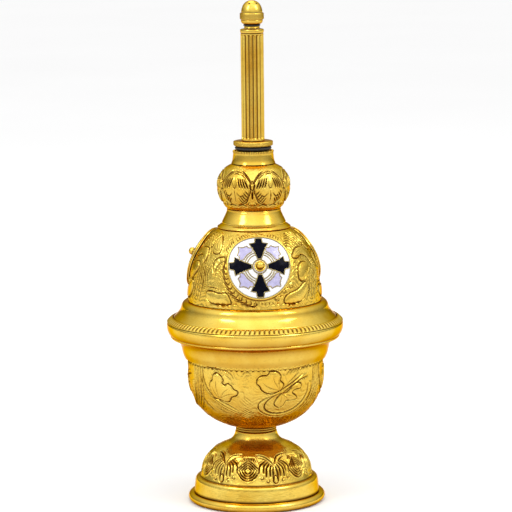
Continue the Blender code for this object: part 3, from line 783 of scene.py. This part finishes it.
def dome_wings(art):
    """The leaves and scrolls at either side of the medallion."""
    left = [(-31, 6.5), (-34.4, 7.6), (-37.2, 11.2), (-36.4, 15.4), (-32.6, 17.6), (-29.8, 14.8)]
    left += [(-28, 11.6), (-27.6, 7.6)]
    art.leaf(left, (-28.6, 8.2), [(-36.4, 10.8), (-35.4, 15.4), (-31.8, 16.8)], 0.55)
    scroll = [(-28.2, -4.4), (-30, -0.4), (-29, 3.6), (-24.6, 5.2), (-21.2, 4.2)]
    art.groove(scroll, 0.9, 0.38)
    art.groove([(-26.8, -5.4), (-27, -1.4), (-25, 1.8), (-21.8, 2.4)], 0.7, 0.3)
    art.ridge([(-27.4, -4.8), (-28.4, -0.8), (-26.8, 2.8), (-22, 3.4)], 1.4, 0.35)
    art.curl((-23.6, -1), 2.1, 120, 1.2, -1)
    first, last = [(-21.6, 8), (-24, 10), (-25, 13.4)], [(-17.6, 13), (-20.6, 15.2), (-22.6, 18.4)]
    art.hatch(first, last, 5, 0.6, 0.26)
    first, last = [(-31.8, -1), (-33.2, -5), (-32.6, -9.8)], [(-36.8, 4), (-38, -5), (-36.2, -14.6)]
    art.hatch(first, last, 4, 0.7, 0.3)
    right = [(25.2, -1.6), (28.4, 0.8), (33, 0.6), (34.6, -2.4), (31, -6.4), (27, -9.6), (24.4, -8)]
    right += [(24.2, -4.6)]
    art.swell(right, 0.75, 3.0)
    leaf = [(22.6, 4.4), (27, 3.4), (31.4, 5), (35.4, 3.4), (37.8, 0.4), (39.2, 4.6), (36.6, 9.2)]
    leaf += [(31, 9.6), (26.4, 8)]
    art.leaf(leaf, (23.4, 4.8), [(37, 2), (36, 8.2), (30.6, 9)], 0.6)
    for step in range(6):
        rise = 1.75 * step
        middle, end = (22.8 + 0.9 * rise, 11.4 + 0.9 * rise), (27.8 + 0.9 * rise, 8.0 + 0.7 * rise)
        art.groove([(17.4 + rise, 10.6 + rise), middle, end], 0.7, 0.3)
    art.groove([(21.6, -1.6), (22.6, 1), (25, 1.6)], 0.6, 0.28)
    first, last = [(35.6, -3.4), (33.4, -9.8), (31.8, -18)], [(40.4, -1), (40.4, -9.6), (37.6, -20)]
    art.hatch(first, last, 4, 0.75, 0.34)


def dome_crown(art):
    """Leaf tips and fans under the collar, and the tall leaf half way between two medallions."""
    for hand in (-1, 1):
        near, far = beside(0, hand, (8.4, 18.6), (11.4, 21.6)), beside(0, hand, (14.6, 14), (19.4, 18))
        art.hatch(near, far, 5, 0.6, 0.24)
        art.groove(beside(0, hand, (5, 20.2), (2.4, 21.8), (0, 22.2)), 0.55, 0.22)
    half = art.width / 2
    tall = [(0, 22), (3, 19.6), (4.2, 15.6), (2.6, 11.8), (0, 10), (-2.6, 11.8), (-3.4, 15.6)]
    tall += [(-2.6, 19.6)]
    art.leaf(beside(half, 1, *tall), (half, 10.6), [(half, 21.6), (half + 3.0, 17.0)], 0.45)


def make_dome(gold):
    outer = [(13, 152.4), (17, 152.4), (20, 152.4), *smooth(DOME_KNOTS, 0.4)]
    outer = fitted(outer, "cover_dome")
    columns = 200
    levels = levels_of(outer, MEDALLION_LEVEL) - MEDALLION_LEVEL
    art = Chasing(2 * math.pi * DOME_RADIUS / DOME_CELLS, columns, levels, seed=7)
    dome_rim_strokes(art)
    dome_fields(art)
    dome_wings(art)
    dome_crown(art)
    art.matting(spacing=1.6, depth=0.16)
    height, cut = art.heights(ground=0.045, fade=1)
    reach = np.hypot(art.x[None, :] * outer[:, :1] / DOME_RADIUS, art.y[:, None])
    seat = np.clip((reach - MEDALLION_RADIUS - 0.1) / 0.5, 0, 1)
    seat *= np.clip((151.6 - outer[:, 1:]) / 0.8, 0, 1)
    # painted shadow: a narrow dark ring on the dome just outside the medallion's edge
    cut = np.maximum(cut * seat, np.exp(-(((reach - MEDALLION_RADIUS - 0.25) / 0.35) ** 2)))
    lift, cuts = repeat(height * seat, DOME_CELLS), repeat(cut, DOME_CELLS)
    shape = dict(lift=lift, cuts=cuts, start=cell_start(DOME_CELLS), sharp=60)
    turned("dome", sheet(outer, WALL, 18), columns * DOME_CELLS, gold, "cover", "cover_dome", **shape)


def make_dome_collar(gold):
    top, bottom, radius = extent("dome_collar")
    edge = arc((17.4, top - 0.6), 0.6, 90, 30, 0.12)
    face = smooth([edge[-1], (18.9, top - 0.9), (19.7, bottom + 0.7)], 0.3)
    foot = arc((radius - 0.5, bottom + 0.4), 0.45, 60, -60, 0.12)
    section = np.vstack([[(13.6, top)], edge, face[1:], foot, [(19.6, bottom), (13.6, bottom)]])
    turned("dome_band", section, 144, gold, "cover", "dome_collar", sharp=35)


def make_neck(gold):
    lip = smooth([(14.3, 163), (14.7, 162.85), (14.9, 162.5), (14.8, 162.1)], 0.15)
    knots = [(14.9, 162), (15.3, 160.8), (16.2, 158.8), (17.2, 156.8), (17.6, 155.9), (17.6, 155.4)]
    cone = smooth(knots, 0.3)
    outer = fitted(np.vstack([[(12.2, 163), (13.4, 163)], lip, cone]), "neck_cone")
    turned("neck", sheet(outer, WALL, 10), 144, gold, "cover", "neck_cone")


def bulb_half(art, hand, half):
    """The strokes at one side of a lobe."""

    def side(*points):
        return beside(0, hand, *points)

    art.groove(side((3.4, 186.4), (7, 183.2), (half - 0.3, 178.4)), 1.0, 0.45)
    art.groove(side((2.4, 184.6), (5.6, 182.4), (7.6, 179.4)), 0.7, 0.3)
    art.hatch(side((1.8, 181.4), (3.4, 176.6)), side((5.8, 180.8), (8, 176)), 4, 1.0, 0.5)
    art.groove(side((1.4, 173.6), (3.6, 171.6), (6.4, 172.6)), 0.7, 0.3)
    art.hatch(side((6.4, 174.6), (8.6, 171.8)), side((2.6, 170.4), (4.6, 167.4)), 5, 0.8, 0.36)
    art.groove(side((8.6, 175.4), (7.2, 170), (3, 166.9)), 0.65, 0.3)
    art.curl((hand * (half - 1.4), 166.4), 1.3, 90, 0.9, hand)
    art.groove(side((0.6, 164.9), (3.6, 166.1), (6.6, 165)), 0.8, 0.36)


def bulb_lobes(art):
    """One lobe: a low shield whose top edges meet its neighbours' in a V above a small node."""
    half = art.width / 2
    edge = [(4.6, 184.4), (8.2, 180.6), (half - 0.9, 177.2), (half - 1.6, 172.6), (6.2, 167.6)]
    art.swell([(0, 185.6), *beside(0, -1, *edge), (0, 166), *edge[::-1]], 0.5, 5.5)
    for hand in (-1, 1):
        bulb_half(art, hand, half)
    art.groove([(-2.6, 183.6), (0, 184.4), (2.6, 183.6)], 0.7, 0.3)
    art.groove([(-1.6, 179), (0, 176), (1.6, 179)], 0.6, 0.3)
    art.groove([(0, 175), (0.3, 171), (0, 168.2)], 0.6, 0.28)
    art.swell(beside(half, 1, (0, 180.2), (1.3, 177.6), (0, 175), (-1.3, 177.6)), 0.5, 1.2)
    art.groove([(half, 174.4), (half, 169.6)], 0.9, 0.4)


def make_bulb(gold):
    side = [(12.4, 187.4), (15.2, 185.7), (17.6, 183), (19.2, 179.6), (19.75, 175.8), (19.3, 171.6)]
    side += [(17.9, 167.6)]
    low = smooth([(17.9, 167.6), (16.2, 164.9), (15.3, 163.9), (14.9, 163.3)], 0.33)
    outer = fitted(np.vstack([[(9.9, 187.7), (11.9, 187.7)], smooth(side, 0.33), low[1:]]), "bulb_shell")
    columns = 64
    art = Chasing(2 * math.pi * BULB_RADIUS / BULB_CELLS, columns, levels_of(outer, BULB_LEVEL), seed=3)
    bulb_lobes(art)
    art.matting(spacing=1.5, depth=0.07)
    height, cut = art.heights(ground=0.02, fade=1.5)
    height -= 0.35 * np.clip((np.minimum(185.8 - art.y, art.y - 163.8) / 2), 0, 1)[:, None]
    lift, cuts = repeat(height, BULB_CELLS), repeat(cut, BULB_CELLS)
    shape = dict(lift=lift, cuts=cuts, start=FRONT - math.radians(7), sharp=60)
    turned("bulb", sheet(outer), columns * BULB_CELLS, gold, "cover", "bulb_shell", **shape)


def make_bulb_collar(gold):
    """The ring above the bulb, with a row of fine beads cut on its top edge."""
    top, bottom, _ = extent("bulb_collar")
    edge = smooth([(10.9, top), (11.2, top - 0.15), (11.3, top - 0.6), (11.15, top - 1.1)], 0.18)
    side = smooth([(11.1, top - 1.3), (11.1, top - 2.2), (11.5, 189.8), (12.1, bottom)], 0.4)
    section = np.vstack([[(10.0, top)], edge, side, [(10.0, bottom)]])
    beads, per_bead = 72, 6
    bead = np.abs(np.sin(np.pi * np.arange(beads * per_bead) / per_bead))
    lift = from_row(1, np.tile(-0.28 * (1 - bead), (len(edge), 1)))
    # painted shade: the hollows between the beads are darkened by their depth
    shape = dict(lift=lift, cuts=np.clip(-lift / 0.25, 0, 1), sharp=50)
    turned("bulb_collar_ring", section, beads * per_bead, gold, "cover", "bulb_collar", **shape)


def make_bush(gold):
    top, bottom, _ = extent("neck_bush")
    outside = [(7.9, top), (9.3, top), (9.6, top - 0.3), (9.6, bottom + 0.3), (9.3, bottom), (7.6, bottom)]
    threads = thread_rings(bottom + 0.4, top - 1.9, 1.5, 7.3, 7.75)
    turned("bush", [*outside, *threads, (7.3, top - 0.6)], 96, gold, "cover", "neck_bush", sharp=30)


# ---------------------------------------------------------------- medallions
class Dish:
    """Takes flat places on a medallion (across, up, lift in millimetres) to the dome's surface."""

    def __init__(self, degrees):
        self.azimuth = math.radians(degrees)
        self.line = smooth(DOME_KNOTS, 0.3)
        self.length = along(self.line)
        self.normals = outward(self.line)
        self.centre = np.interp(-MEDALLION_LEVEL, -self.line[:, 1], self.length)

    def place(self, across, up, lift):
        distance = self.centre - up
        radius, height, out, rise = (
            np.interp(distance, self.length, values)
            for values in (self.line[:, 0], self.line[:, 1], self.normals[:, 0], self.normals[:, 1])
        )
        turn = self.azimuth + across / radius
        reach = radius + out * lift
        return Vector((reach * math.cos(turn), reach * math.sin(turn), height + rise * lift)) * MM

    def frame(self):
        """The dome's point at the middle, and the turn that takes +Z to the outward direction."""
        middle = self.place(0, 0, 0)
        out = (self.place(0, 0, 1) - middle).normalized()
        return Matrix.Translation(middle) @ out.to_track_quat("Z", "Y").to_matrix().to_4x4()


def circle(radius, count=72):
    angles = np.arange(count) * 2 * np.pi / count
    return np.stack([radius * np.cos(angles), radius * np.sin(angles)], 1)


def turned_round(points, degrees):
    angle = math.radians(degrees)
    matrix = np.array([[math.cos(angle), math.sin(angle)], [-math.sin(angle), math.cos(angle)]])
    return np.array(points, float) @ matrix


def arm_outline(grow=0.0):
    """One arm of the cross, pointing up: a flared wedge with hollow shoulders and a small tab."""
    right = [(0.8 + grow, 4.4 - grow), (2.4 + grow, 8.6), (4.7 + grow, 12.9 + 0.4 * grow)]
    shoulder = [(3.4, 13.0 + grow), (2.3, 13.2 + grow), (1.7 + grow, 13.8 + grow)]
    tab = [(1.6 + grow, 15.4), (1.3 + grow, 16.0 + grow)]
    half = np.array(right + shoulder + tab)
    return np.vstack([half, half[::-1] * (-1, 1)])


def star_outline():
    """The lilac field between two arms: it starts on the ring and ends in a point, with hollow flanks."""
    inner = [(8.9 * math.sin(a), 8.9 * math.cos(a)) for a in np.radians(np.linspace(-20, 20, 7))]
    right = [(5.2, 9.6), (3.6, 11.2), (3.8, 12.6), (2.6, 12.9), (1.2, 13.6)]
    return np.array([*inner, *right, (0, 15.4), *[(-x, y) for x, y in right[::-1]]])


def ring_arc(radius, spread):
    """Points on an arc that is centred on the upward direction."""
    angles = np.radians(np.linspace(-spread, spread, 15))
    return radius * np.stack([np.sin(angles), np.cos(angles)], 1)


def curve_mesh(name, lines, **settings):
    """The mesh of a curve through lines of points, each with whether it is closed."""
    curve = bpy.data.curves.new(name, "CURVE")
    for setting, value in settings.items():
        setattr(curve, setting, value)
    for points, closed in lines:
        spline = curve.splines.new("POLY")
        spline.points.add(len(points) - 1)
        spline.use_cyclic_u = closed
        for point, place in zip(spline.points, points):
            point.co = (*place, 1)
    holder = bpy.data.objects.new(name, curve)
    bpy.context.scene.collection.objects.link(holder)
    mesh = bpy.data.meshes.new_from_object(holder.evaluated_get(bpy.context.evaluated_depsgraph_get()))
    bpy.data.objects.remove(holder)
    bpy.data.curves.remove(curve)
    return mesh


def filled(name, outlines, thickness, rounding):
    """A flat plate between closed outlines with rounded edges, cut finely enough to be dished."""
    shape = dict(dimensions="2D", fill_mode="BOTH", extrude=thickness / 2 - rounding, offset=-rounding)
    lines = [([(x, y, 0) for x, y in outline], True) for outline in outlines]
    mesh = curve_mesh(name, lines, bevel_depth=rounding, bevel_resolution=1, **shape)
    work = bmesh.new()
    work.from_mesh(mesh)
    bmesh.ops.remove_doubles(work, verts=work.verts, dist=0.001)
    bmesh.ops.triangulate(work, faces=work.faces)
    for longest in (8.0, 4.0, 2.4, 1.8):
        edges = [edge for edge in work.edges if edge.calc_length() > longest]
        bmesh.ops.subdivide_edges(work, edges=edges, cuts=1)
        bmesh.ops.triangulate(work, faces=work.faces)
    bmesh.ops.recalc_face_normals(work, faces=work.faces)
    work.to_mesh(mesh)
    work.free()
    return mesh


def dished(mesh, dish, low, high):
    """Bends a flat plate onto the dome, its lower face at low and its upper one at high."""
    heights = np.array([vertex.co.z for vertex in mesh.vertices])
    share = (heights - heights.min()) / (heights.max() - heights.min())
    for vertex, part in zip(mesh.vertices, share):
        vertex.co = dish.place(vertex.co.x, vertex.co.y, low + part * (high - low))
    mesh.shade_smooth()
    mesh.set_sharp_from_angle(angle=math.radians(35))
    return mesh


def wires(name, dish, paths, lift, thickness):
    """Thin round wires along closed or open paths on the dished face, joined into one mesh."""
    lines = [([dish.place(x, y, lift) for x, y in path], closed) for path, closed in paths]
    shape = dict(dimensions="3D", bevel_depth=thickness / 2 * MM, bevel_resolution=2, use_fill_caps=True)
    mesh = curve_mesh(name, lines, **shape)
    weld(mesh)
    mesh.shade_smooth()
    return mesh


def laid_on(mesh, dish):
    """Bends a turned disc onto the dome: its distances become distances along the dome."""
    for vertex in mesh.vertices:
        vertex.co = dish.place(*(vertex.co / MM))


def disc(low, high, first, last, count):
    """The top and the underside of a flat ring, as two rows of points."""
    across = np.linspace(first, last, count)
    return np.stack([across, np.full(count, high)], 1), np.stack([across[::-1], np.full(count, low)], 1)


def make_plate(side, dish, gold):
    """The gilt disc and its raised edge, as one dished plate turned from a section."""
    top, back = disc(0.3, 0.95, 1.6, 16.7, 16)
    rim = arc((17.35, 1.35), 0.5, 150, -60, 0.15)
    section = np.vstack([top, rim, [(17.8, 0.5), (17.4, 0.3)], back])
    plate = turned(f"plate_{side}", section, 96, gold, "cover", f"medallion_plate_{side}", sharp=35)
    laid_on(plate.data, dish)


def make_boss(side, dish, gold):
    """The gilt ball over the crossing, on a short neck and a beaded collar, with its stud."""
    low, high = 2.15, 2.9
    ball = arc((0, 4.9), 2.1, 90, -52, 0.25)
    neck = smooth([(1.35, 3.15), (1.5, 2.95), (1.9, high)], 0.2)
    collar = arc((2.62, 2.5), 0.5, 60, -50, 0.12)
    stud = [(2.4, low), (1.1, low), (1.1, -1), (1.1, -4.2), (0, -4.2)]
    section = np.vstack([[(0, 7)], ball[1:], neck, collar, stud])
    columns, beads = 96, 16
    turn = np.arange(columns) / columns * 2 * np.pi
    lift = from_row(len(ball) + len(neck), np.tile(0.13 * np.cos(beads * turn), (len(collar), 1)))
    # painted shade: the neck under the ball is darkened
    cuts = from_row(len(ball), np.full((len(neck), columns), 0.9))
    mesh = lathe(f"boss_{side}", section, columns, lift, cuts)
    mesh.transform(dish.frame())
    new_piece(f"boss_{side}", mesh, gold, "cover", f"medallion_boss_{side}")


def make_field(side, dish, material):
    """The white disc that the coloured fields and the cross are laid on."""
    top, back = disc(1.1, 1.5, 2.3, 16.4, 20)
    section = np.vstack([top, [(16.7, 1.42), (16.75, 1.2)], back])
    node = f"medallion_enamel_{side}"
    field = turned(f"field_{side}", section, 96, material, "cover", node, "white_enamel", sharp=50)
    laid_on(field.data, dish)


def make_medallion(side, degrees, gold, wire_gold, white, lilac, black):
    dish = Dish(degrees)
    make_plate(side, dish, gold)
    make_field(side, dish, white)
    quarters = (0, 90, 180, 270)
    arms = [turned_round(arm_outline(), quarter) for quarter in quarters]
    stars = [turned_round(star_outline(), quarter + 45) for quarter in quarters]
    inset = dished(filled(f"lilac_{side}", stars, 0.3, 0.05), dish, 1.47, 1.58)
    new_piece(f"lilac_{side}", inset, lilac, "cover", None)
    cross = dished(filled(f"cross_{side}", arms, 0.4, 0.08), dish, 1.47, 1.7)
    new_piece(f"cross_{side}", cross, black, "cover", f"medallion_cross_{side}")
    paths = [(circle(3.7, 40), True), (circle(16.9, 96), True)]
    for quarter, star in zip(quarters, stars):
        paths.append((turned_round(arm_outline(0.25), quarter), True))
        paths.append((star, True))
        paths.append((turned_round(ring_arc(7.9, 31), quarter + 45), False))
        paths.append((turned_round(ring_arc(6.7, 27), quarter + 45), False))
    mesh = wires(f"wires_{side}", dish, paths, 1.55, 0.62)
    new_piece(f"wires_{side}", mesh, wire_gold, "cover", None)
    make_boss(side, dish, gold)


# ---------------------------------------------------------------- tube and tip
def make_gasket(seal):
    top, bottom, radius = extent("neck_gasket")
    edge = arc((radius - 0.72, (top + bottom) / 2), 0.72, 80, -80, 0.15)
    section = np.vstack([[(7.4, top - 0.05), (9.0, top)], edge, [(9.0, bottom), (7.4, bottom + 0.05)]])
    turned("gasket", section, 128, seal, "neck_gasket", "neck_gasket", "black_rubber", sharp=45)


def make_flange(gold):
    """The knurled flange and its spigot, cut with a right-hand thread of two starts."""
    top, bottom, radius = extent("tube_flange")
    under = extent("neck_gasket")[0] + 0.3
    crown = [(3.6, top), (6.4, top), (radius - 0.8, top), (radius - 0.35, top - 0.1)]
    grip = np.stack([np.full(14, radius - 0.02), np.linspace(top - 0.35, under + 0.35, 14)], 1)
    relief = [(radius - 0.35, under), (7.6, under), (6.7, under - 0.1), (6.7, under - 0.6)]
    levels = np.arange(under - 0.9, bottom + 0.5, -0.125)
    thread = np.stack([np.full(len(levels), 7.0), levels], 1)
    section = np.vstack([crown, grip, relief, thread, [(6.7, bottom + 0.3), (6.4, bottom), (3.6, bottom)]])
    knurl = knurling(grip[:, 1] - under, 72, 6, 3.0)
    columns = knurl.shape[1]
    starts, lead = 2, 3.0
    phase = starts * (levels[:, None] / lead - np.arange(columns)[None, :] / columns)
    groove = np.abs(2 * (phase % 1) - 1)
    plain = np.zeros((len(relief), columns))
    lift = from_row(len(crown), np.vstack([-0.32 * knurl, plain, -0.45 * groove]))
    # painted shade: the knurl's and the thread's hollows are darkened by their depth
    cuts = from_row(len(crown), np.vstack([0.8 * knurl, plain, 0.7 * groove]))
    shape = dict(lift=lift, cuts=cuts, sharp=60)
    turned("flange", section, columns, gold, "sprinkler_tube", "tube_flange", **shape)


def make_fluted_tube(gold):
    """The column: sixteen flutes with rounded ends between narrow flats, drilled through."""
    top, bottom, radius = extent("fluted_tube")
    ends = np.concatenate([np.linspace(0, 4.2, 18), np.linspace(4.6, 20, 8)])
    levels = np.concatenate([top - ends, bottom + ends[::-1]])
    outer = np.stack([np.full(len(levels), radius), levels], 1)
    section = np.vstack([outer, [(4.6, bottom), (4.6, top)]])
    per_flute, half, deep = 14, 1.05, 0.78
    columns = FLUTES * per_flute
    share = (np.arange(columns) % per_flute)[None, :] / per_flute - 0.5
    across = np.abs(share) * 2 * np.pi * radius / FLUTES
    run = np.minimum(top - 0.5 - levels, levels - bottom - 0.9)[:, None]
    round_end = np.sqrt(np.clip(half**2 - (half - np.clip(run, 0, half)) ** 2, 0, None))
    reach = np.where(run < half, round_end, half)
    depth = np.sqrt(np.clip(1 - (across / np.maximum(reach, 1e-3)) ** 2, 0, 1)) * deep * (run > 0)
    # painted shade: the middle of each flute is darkened by its depth
    dark = np.clip(1.15 - np.abs(share + 0.04) / 0.26, 0, 1) * np.clip(depth / 0.4, 0, 1)
    shape = dict(lift=-depth * reach / half, cuts=dark, start=FRONT - math.pi / FLUTES, sharp=38)
    turned("column", section, columns, gold, "sprinkler_tube", "fluted_tube", **shape)


def make_cap_and_nipple(gold):
    top, bottom, _ = extent("tube_cap")
    low_side = [(6.45, bottom + 0.7), (6.3, bottom + 0.2), (6.0, bottom)]
    side = smooth([(5.9, top), (6.3, top - 0.2), (6.45, top - 0.6), *low_side], 0.2)
    section = np.vstack([[(1.6, top)], side, [(1.6, bottom)]])
    turned("cap", section, 96, gold, "sprinkler_tube", "tube_cap", sharp=50)
    top, bottom, _ = extent("tube_neck")
    shoulder = extent("head_cup")[1] - 1.3
    waist = [(4.15, bottom + 0.5), (4.3, bottom + 0.25), (4.6, bottom)]
    stem = smooth([(4.3, shoulder), (4.3, shoulder - 0.3), *waist], 0.2)
    threads = thread_rings(top - 0.6, shoulder + 1.2, -1.0, 3.3, 3.0)
    relief = [(3.0, shoulder + 0.5), (3.3, shoulder + 0.2)]
    section = np.vstack([[(1.6, top), (2.9, top)], threads, relief, stem, [(1.6, bottom)]])
    turned("nipple", section, 80, gold, "sprinkler_tube", "tube_neck", sharp=35)


def make_tip_washer(seal):
    top, bottom, radius = extent("tip_washer")
    edge = arc((radius - 0.34, (top + bottom) / 2), 0.34, 80, -80, 0.08)
    section = np.vstack([[(3.65, top)], edge, [(3.65, bottom)]])
    turned("tip_ring", section, 80, seal, "tip_washer", "tip_washer", "black_rubber", sharp=45)


def make_acorn(gold):
    top, bottom, _ = extent("head_cup")
    shoulder = extent("head_band")[1] - 0.3
    round_side = [(5.9, shoulder), (6.0, shoulder - 0.25), (5.75, bottom + 1.0), (5.2, bottom + 0.3)]
    round_side += [(4.6, bottom)]
    rim = [(3.65, top), (4.9, top), (4.9, shoulder)]
    section = np.vstack([rim, smooth(round_side, 0.15), [(3.65, bottom)]])
    turned("acorn_cup", section, 80, gold, "sprinkler_head", "head_cup")

    top, bottom, radius = extent("head_band")
    grip = np.stack([np.full(11, radius), np.linspace(top - 0.4, bottom + 0.4, 11)], 1)
    section = np.vstack([[(5.2, top), (radius - 0.4, top)], grip, [(radius - 0.4, bottom), (5.2, bottom)]])
    knurl = from_row(2, knurling(grip[:, 1] - bottom, 44, 6, 3.2))
    # painted shade: the knurl's hollows are darkened by their depth
    shape = dict(lift=-0.3 * knurl, cuts=0.8 * knurl, sharp=60)
    turned("acorn_band", section, knurl.shape[1], gold, "sprinkler_head", "head_band", **shape)
    make_crown(gold)


def make_crown(gold):
    """The acorn's crown, with one spray hole on top and six round it."""
    top, bottom, _ = extent("head_dome")
    outer = [(0, 0), (1.6, 0.15), (3.2, 0.9), (4.5, 2.2), (5.3, 3.8), (5.75, 5.6), (5.8, top - bottom)]
    inner = [(4.9, top - bottom), (4.85, 5.7), (4.4, 3.9), (3.4, 2.3), (1.8, 1.2), (0, 0.9)]
    outer, inner = ([(radius, top - depth) for radius, depth in line] for line in (outer, inner))
    section = np.vstack([smooth(outer, 0.3), smooth(inner, 0.6)])
    crown = turned("acorn_crown", section, 96, gold, "sprinkler_head", "head_dome", sharp=45)
    drills = []
    for hole in range(7):
        lean = Matrix.Identity(4)
        if hole:
            lean = Matrix.Rotation(hole * math.pi / 3 + 0.1, 4, "Z") @ Matrix.Rotation(0.62, 4, "Y")
        bpy.ops.mesh.primitive_cylinder_add(vertices=16, radius=0.5 * MM, depth=5 * MM)
        drill = bpy.context.object
        centre, out = Matrix.Translation((0, 0, (top - 7) * MM)), Matrix.Translation((0, 0, 6 * MM))
        drill.data.transform(centre @ lean @ out)
        drills.append(drill)
        cut = crown.modifiers.new("spray hole", "BOOLEAN")
        cut.operation = "DIFFERENCE"
        cut.solver = "EXACT"
        cut.object = drill
    drilled = bpy.data.meshes.new_from_object(crown.evaluated_get(bpy.context.evaluated_depsgraph_get()))
    crown.modifiers.clear()
    crown.data = drilled
    for drill in drills:
        bpy.data.objects.remove(drill)


# ---------------------------------------------------------------- pieces that are seen only when it is apart
def make_stem_fastening(gold, seal):
    top, bottom, _ = extent("stem_bolt")
    seat = top - 4.0
    knots = [(0, top), (3.0, top - 0.1), (5.8, top - 0.5), (7.1, top - 1.6), (7.4, top - 2.8), (7.4, seat)]
    head = smooth(knots, 0.4)
    threads = thread_rings(38.0, bottom + 1.2, -1.2, 3.9, 3.45)
    section = np.vstack([head, [(3.9, seat), (3.9, 39)], threads, [(3.3, bottom), (0, bottom)]])
    turned("bolt", section, 80, gold, "vessel", "stem_bolt", sharp=35)
    top, bottom, radius = extent("bolt_seal")
    edge = arc((radius - 0.6, (top + bottom) / 2), 0.6, 80, -80, 0.15)
    section = np.vstack([[(4.2, top)], edge, [(4.2, bottom)]])
    turned("bolt_ring", section, 80, seal, "vessel", "bolt_seal", "black_rubber")
    top, bottom, radius = extent("stem_washer")
    edge = [(radius - 0.2, top), (radius, top - 0.2), (radius, bottom + 0.2), (radius - 0.2, bottom)]
    turned("washer", [(4.2, top), *edge, (4.2, bottom)], 80, gold, "vessel", "stem_washer", sharp=30)


# ---------------------------------------------------------------- setting
def make_floor():
    work = bmesh.new()
    bmesh.ops.create_circle(work, cap_ends=True, segments=64, radius=14)
    mesh = bpy.data.meshes.new("floor")
    work.to_mesh(mesh)
    work.free()
    material, tree, shader = new_material("pale_floor")
    tone = ramp_node(tree, noise_node(tree, 3, 2), [(0.2, (0.96,) * 3), (0.8, (0.98,) * 3)])
    tree.links.new(tone, shader.inputs["Base Color"])
    shader.inputs["Roughness"].default_value = 0.9
    shader.inputs["Specular IOR Level"].default_value = 0.1
    mesh.materials.append(material)
    floor = bpy.data.objects.new("floor", mesh)
    floor.location.z = -0.0002
    bpy.context.scene.collection.objects.link(floor)


def aim(thing, place, target):
    thing.location = place
    thing.rotation_euler = (Vector(target) - Vector(place)).to_track_quat("-Z", "Y").to_euler()
    bpy.context.scene.collection.objects.link(thing)


def add_softbox(name, azimuth, elevation, distance, size, power):
    """A square light aimed at the object; azimuth is degrees to the right of the camera's side."""
    light = bpy.data.lights.new(name, "AREA")
    light.shape = "RECTANGLE"
    light.size, light.size_y = size
    light.energy = power
    turn, rise = FRONT + math.radians(azimuth), math.radians(elevation)
    way = Vector((math.cos(rise) * math.cos(turn), math.cos(rise) * math.sin(turn), math.sin(rise)))
    aim(bpy.data.objects.new(name, light), LIT_MIDDLE + distance * way, LIT_MIDDLE)


def make_world():
    """A pale studio: bright overhead, dimmer at the walls and dimmest behind, so that the metal has depth."""
    world = bpy.data.worlds.new("studio")
    bpy.context.scene.world = world
    world.use_nodes = True
    tree = world.node_tree
    background = tree.nodes["Background"]
    way = add_node(tree, "TexCoord", {}, "Generated")
    grey = [(0, 0.52), (0.10, 0.58), (0.30, 0.90), (0.6, 1.30), (1, 1.70)]
    stops = [(height, (value,) * 3) for height, value in grey]
    colour = ramp_node(tree, add_node(tree, "SeparateXYZ", {"Vector": way}, "Z"), stops)
    strength = range_node(tree, add_node(tree, "SeparateXYZ", {"Vector": way}, "Y"), 1.0, 0.5, -0.6, 0.6)
    tree.links.new(colour, background.inputs["Color"])
    tree.links.new(strength, background.inputs["Strength"])


def make_camera():
    """Slightly left of the front and above the middle, from far off as for a shop's picture."""
    lens = bpy.data.cameras.new("camera")
    lens.lens = 207
    lens.sensor_width = 36
    lens.shift_x = 0.0033
    lens.clip_end = 100
    camera = bpy.data.objects.new("camera", lens)
    distance, turn, rise = 1.62, math.radians(-4.85), math.radians(8.6)
    middle = Vector((0, 0, 0.1363))
    way = Vector((math.cos(rise) * math.sin(turn), -math.cos(rise) * math.cos(turn), math.sin(rise)))
    aim(camera, middle + distance * way, middle)
    camera.rotation_euler.rotate_axis("Z", math.radians(-0.6))
    bpy.context.scene.camera = camera


# ---------------------------------------------------------------- the whole object
def make_gold_pieces(seal):
    polished = gilt("polished_gilt", (0.09, 0.17), 0.25)
    chased = gilt("chased_gilt", (0.14, 0.24), 0.4, 0.00003)
    satin = gilt("satin_gilt", (0.2, 0.32), 0.5)
    make_base(polished)
    make_foot(chased)
    make_stem_collar(polished)
    make_bowl(chased)
    make_gallery(polished)
    make_trim(chased)
    make_skirt(polished)
    make_spigot(satin, seal)
    make_dome(chased)
    make_dome_collar(polished)
    make_neck(polished)
    make_bulb(chased)
    make_bulb_collar(polished)
    make_bush(satin)
    make_flange(chased)
    make_fluted_tube(polished)
    make_cap_and_nipple(polished)
    make_acorn(chased)
    make_stem_fastening(satin, seal)
    carried = ["stem_nut", *[f"boss_nut_{side}" for side in SIDES]]
    for node in carried:
        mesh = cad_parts[node].data
        mesh.materials.clear()
        mesh.materials.append(satin)
    return polished


seal = rubber("seal_rubber")
polished = make_gold_pieces(seal)
make_gasket(seal)
make_tip_washer(seal)
wire_gold = gilt("wire_gilt", (0.16, 0.26), 0.15, tones=(PALE_GOLD, PALE_GOLD))
white = enamel("white_enamel", (0.84, 0.84, 0.87), (0.92, 0.92, 0.93))
lilac = enamel("lilac_enamel", (0.42, 0.39, 0.62), (0.55, 0.52, 0.74))
black = enamel("black_enamel", (0.002, 0.002, 0.005), (0.005, 0.005, 0.012), 0.03)
for side, degrees in SIDES.items():
    make_medallion(side, degrees, polished, wire_gold, white, lilac, black)

make_floor()
make_world()
add_softbox("left softbox", -56, 42, 1.1, (0.30, 0.45), 2.2)
add_softbox("right softbox", 56, 42, 1.1, (0.30, 0.45), 2.2)
add_softbox("rear softbox", 180, 60, 1.4, (0.6, 0.6), 2.5)
make_camera()
bpy.context.scene.view_settings.view_transform = "Standard"
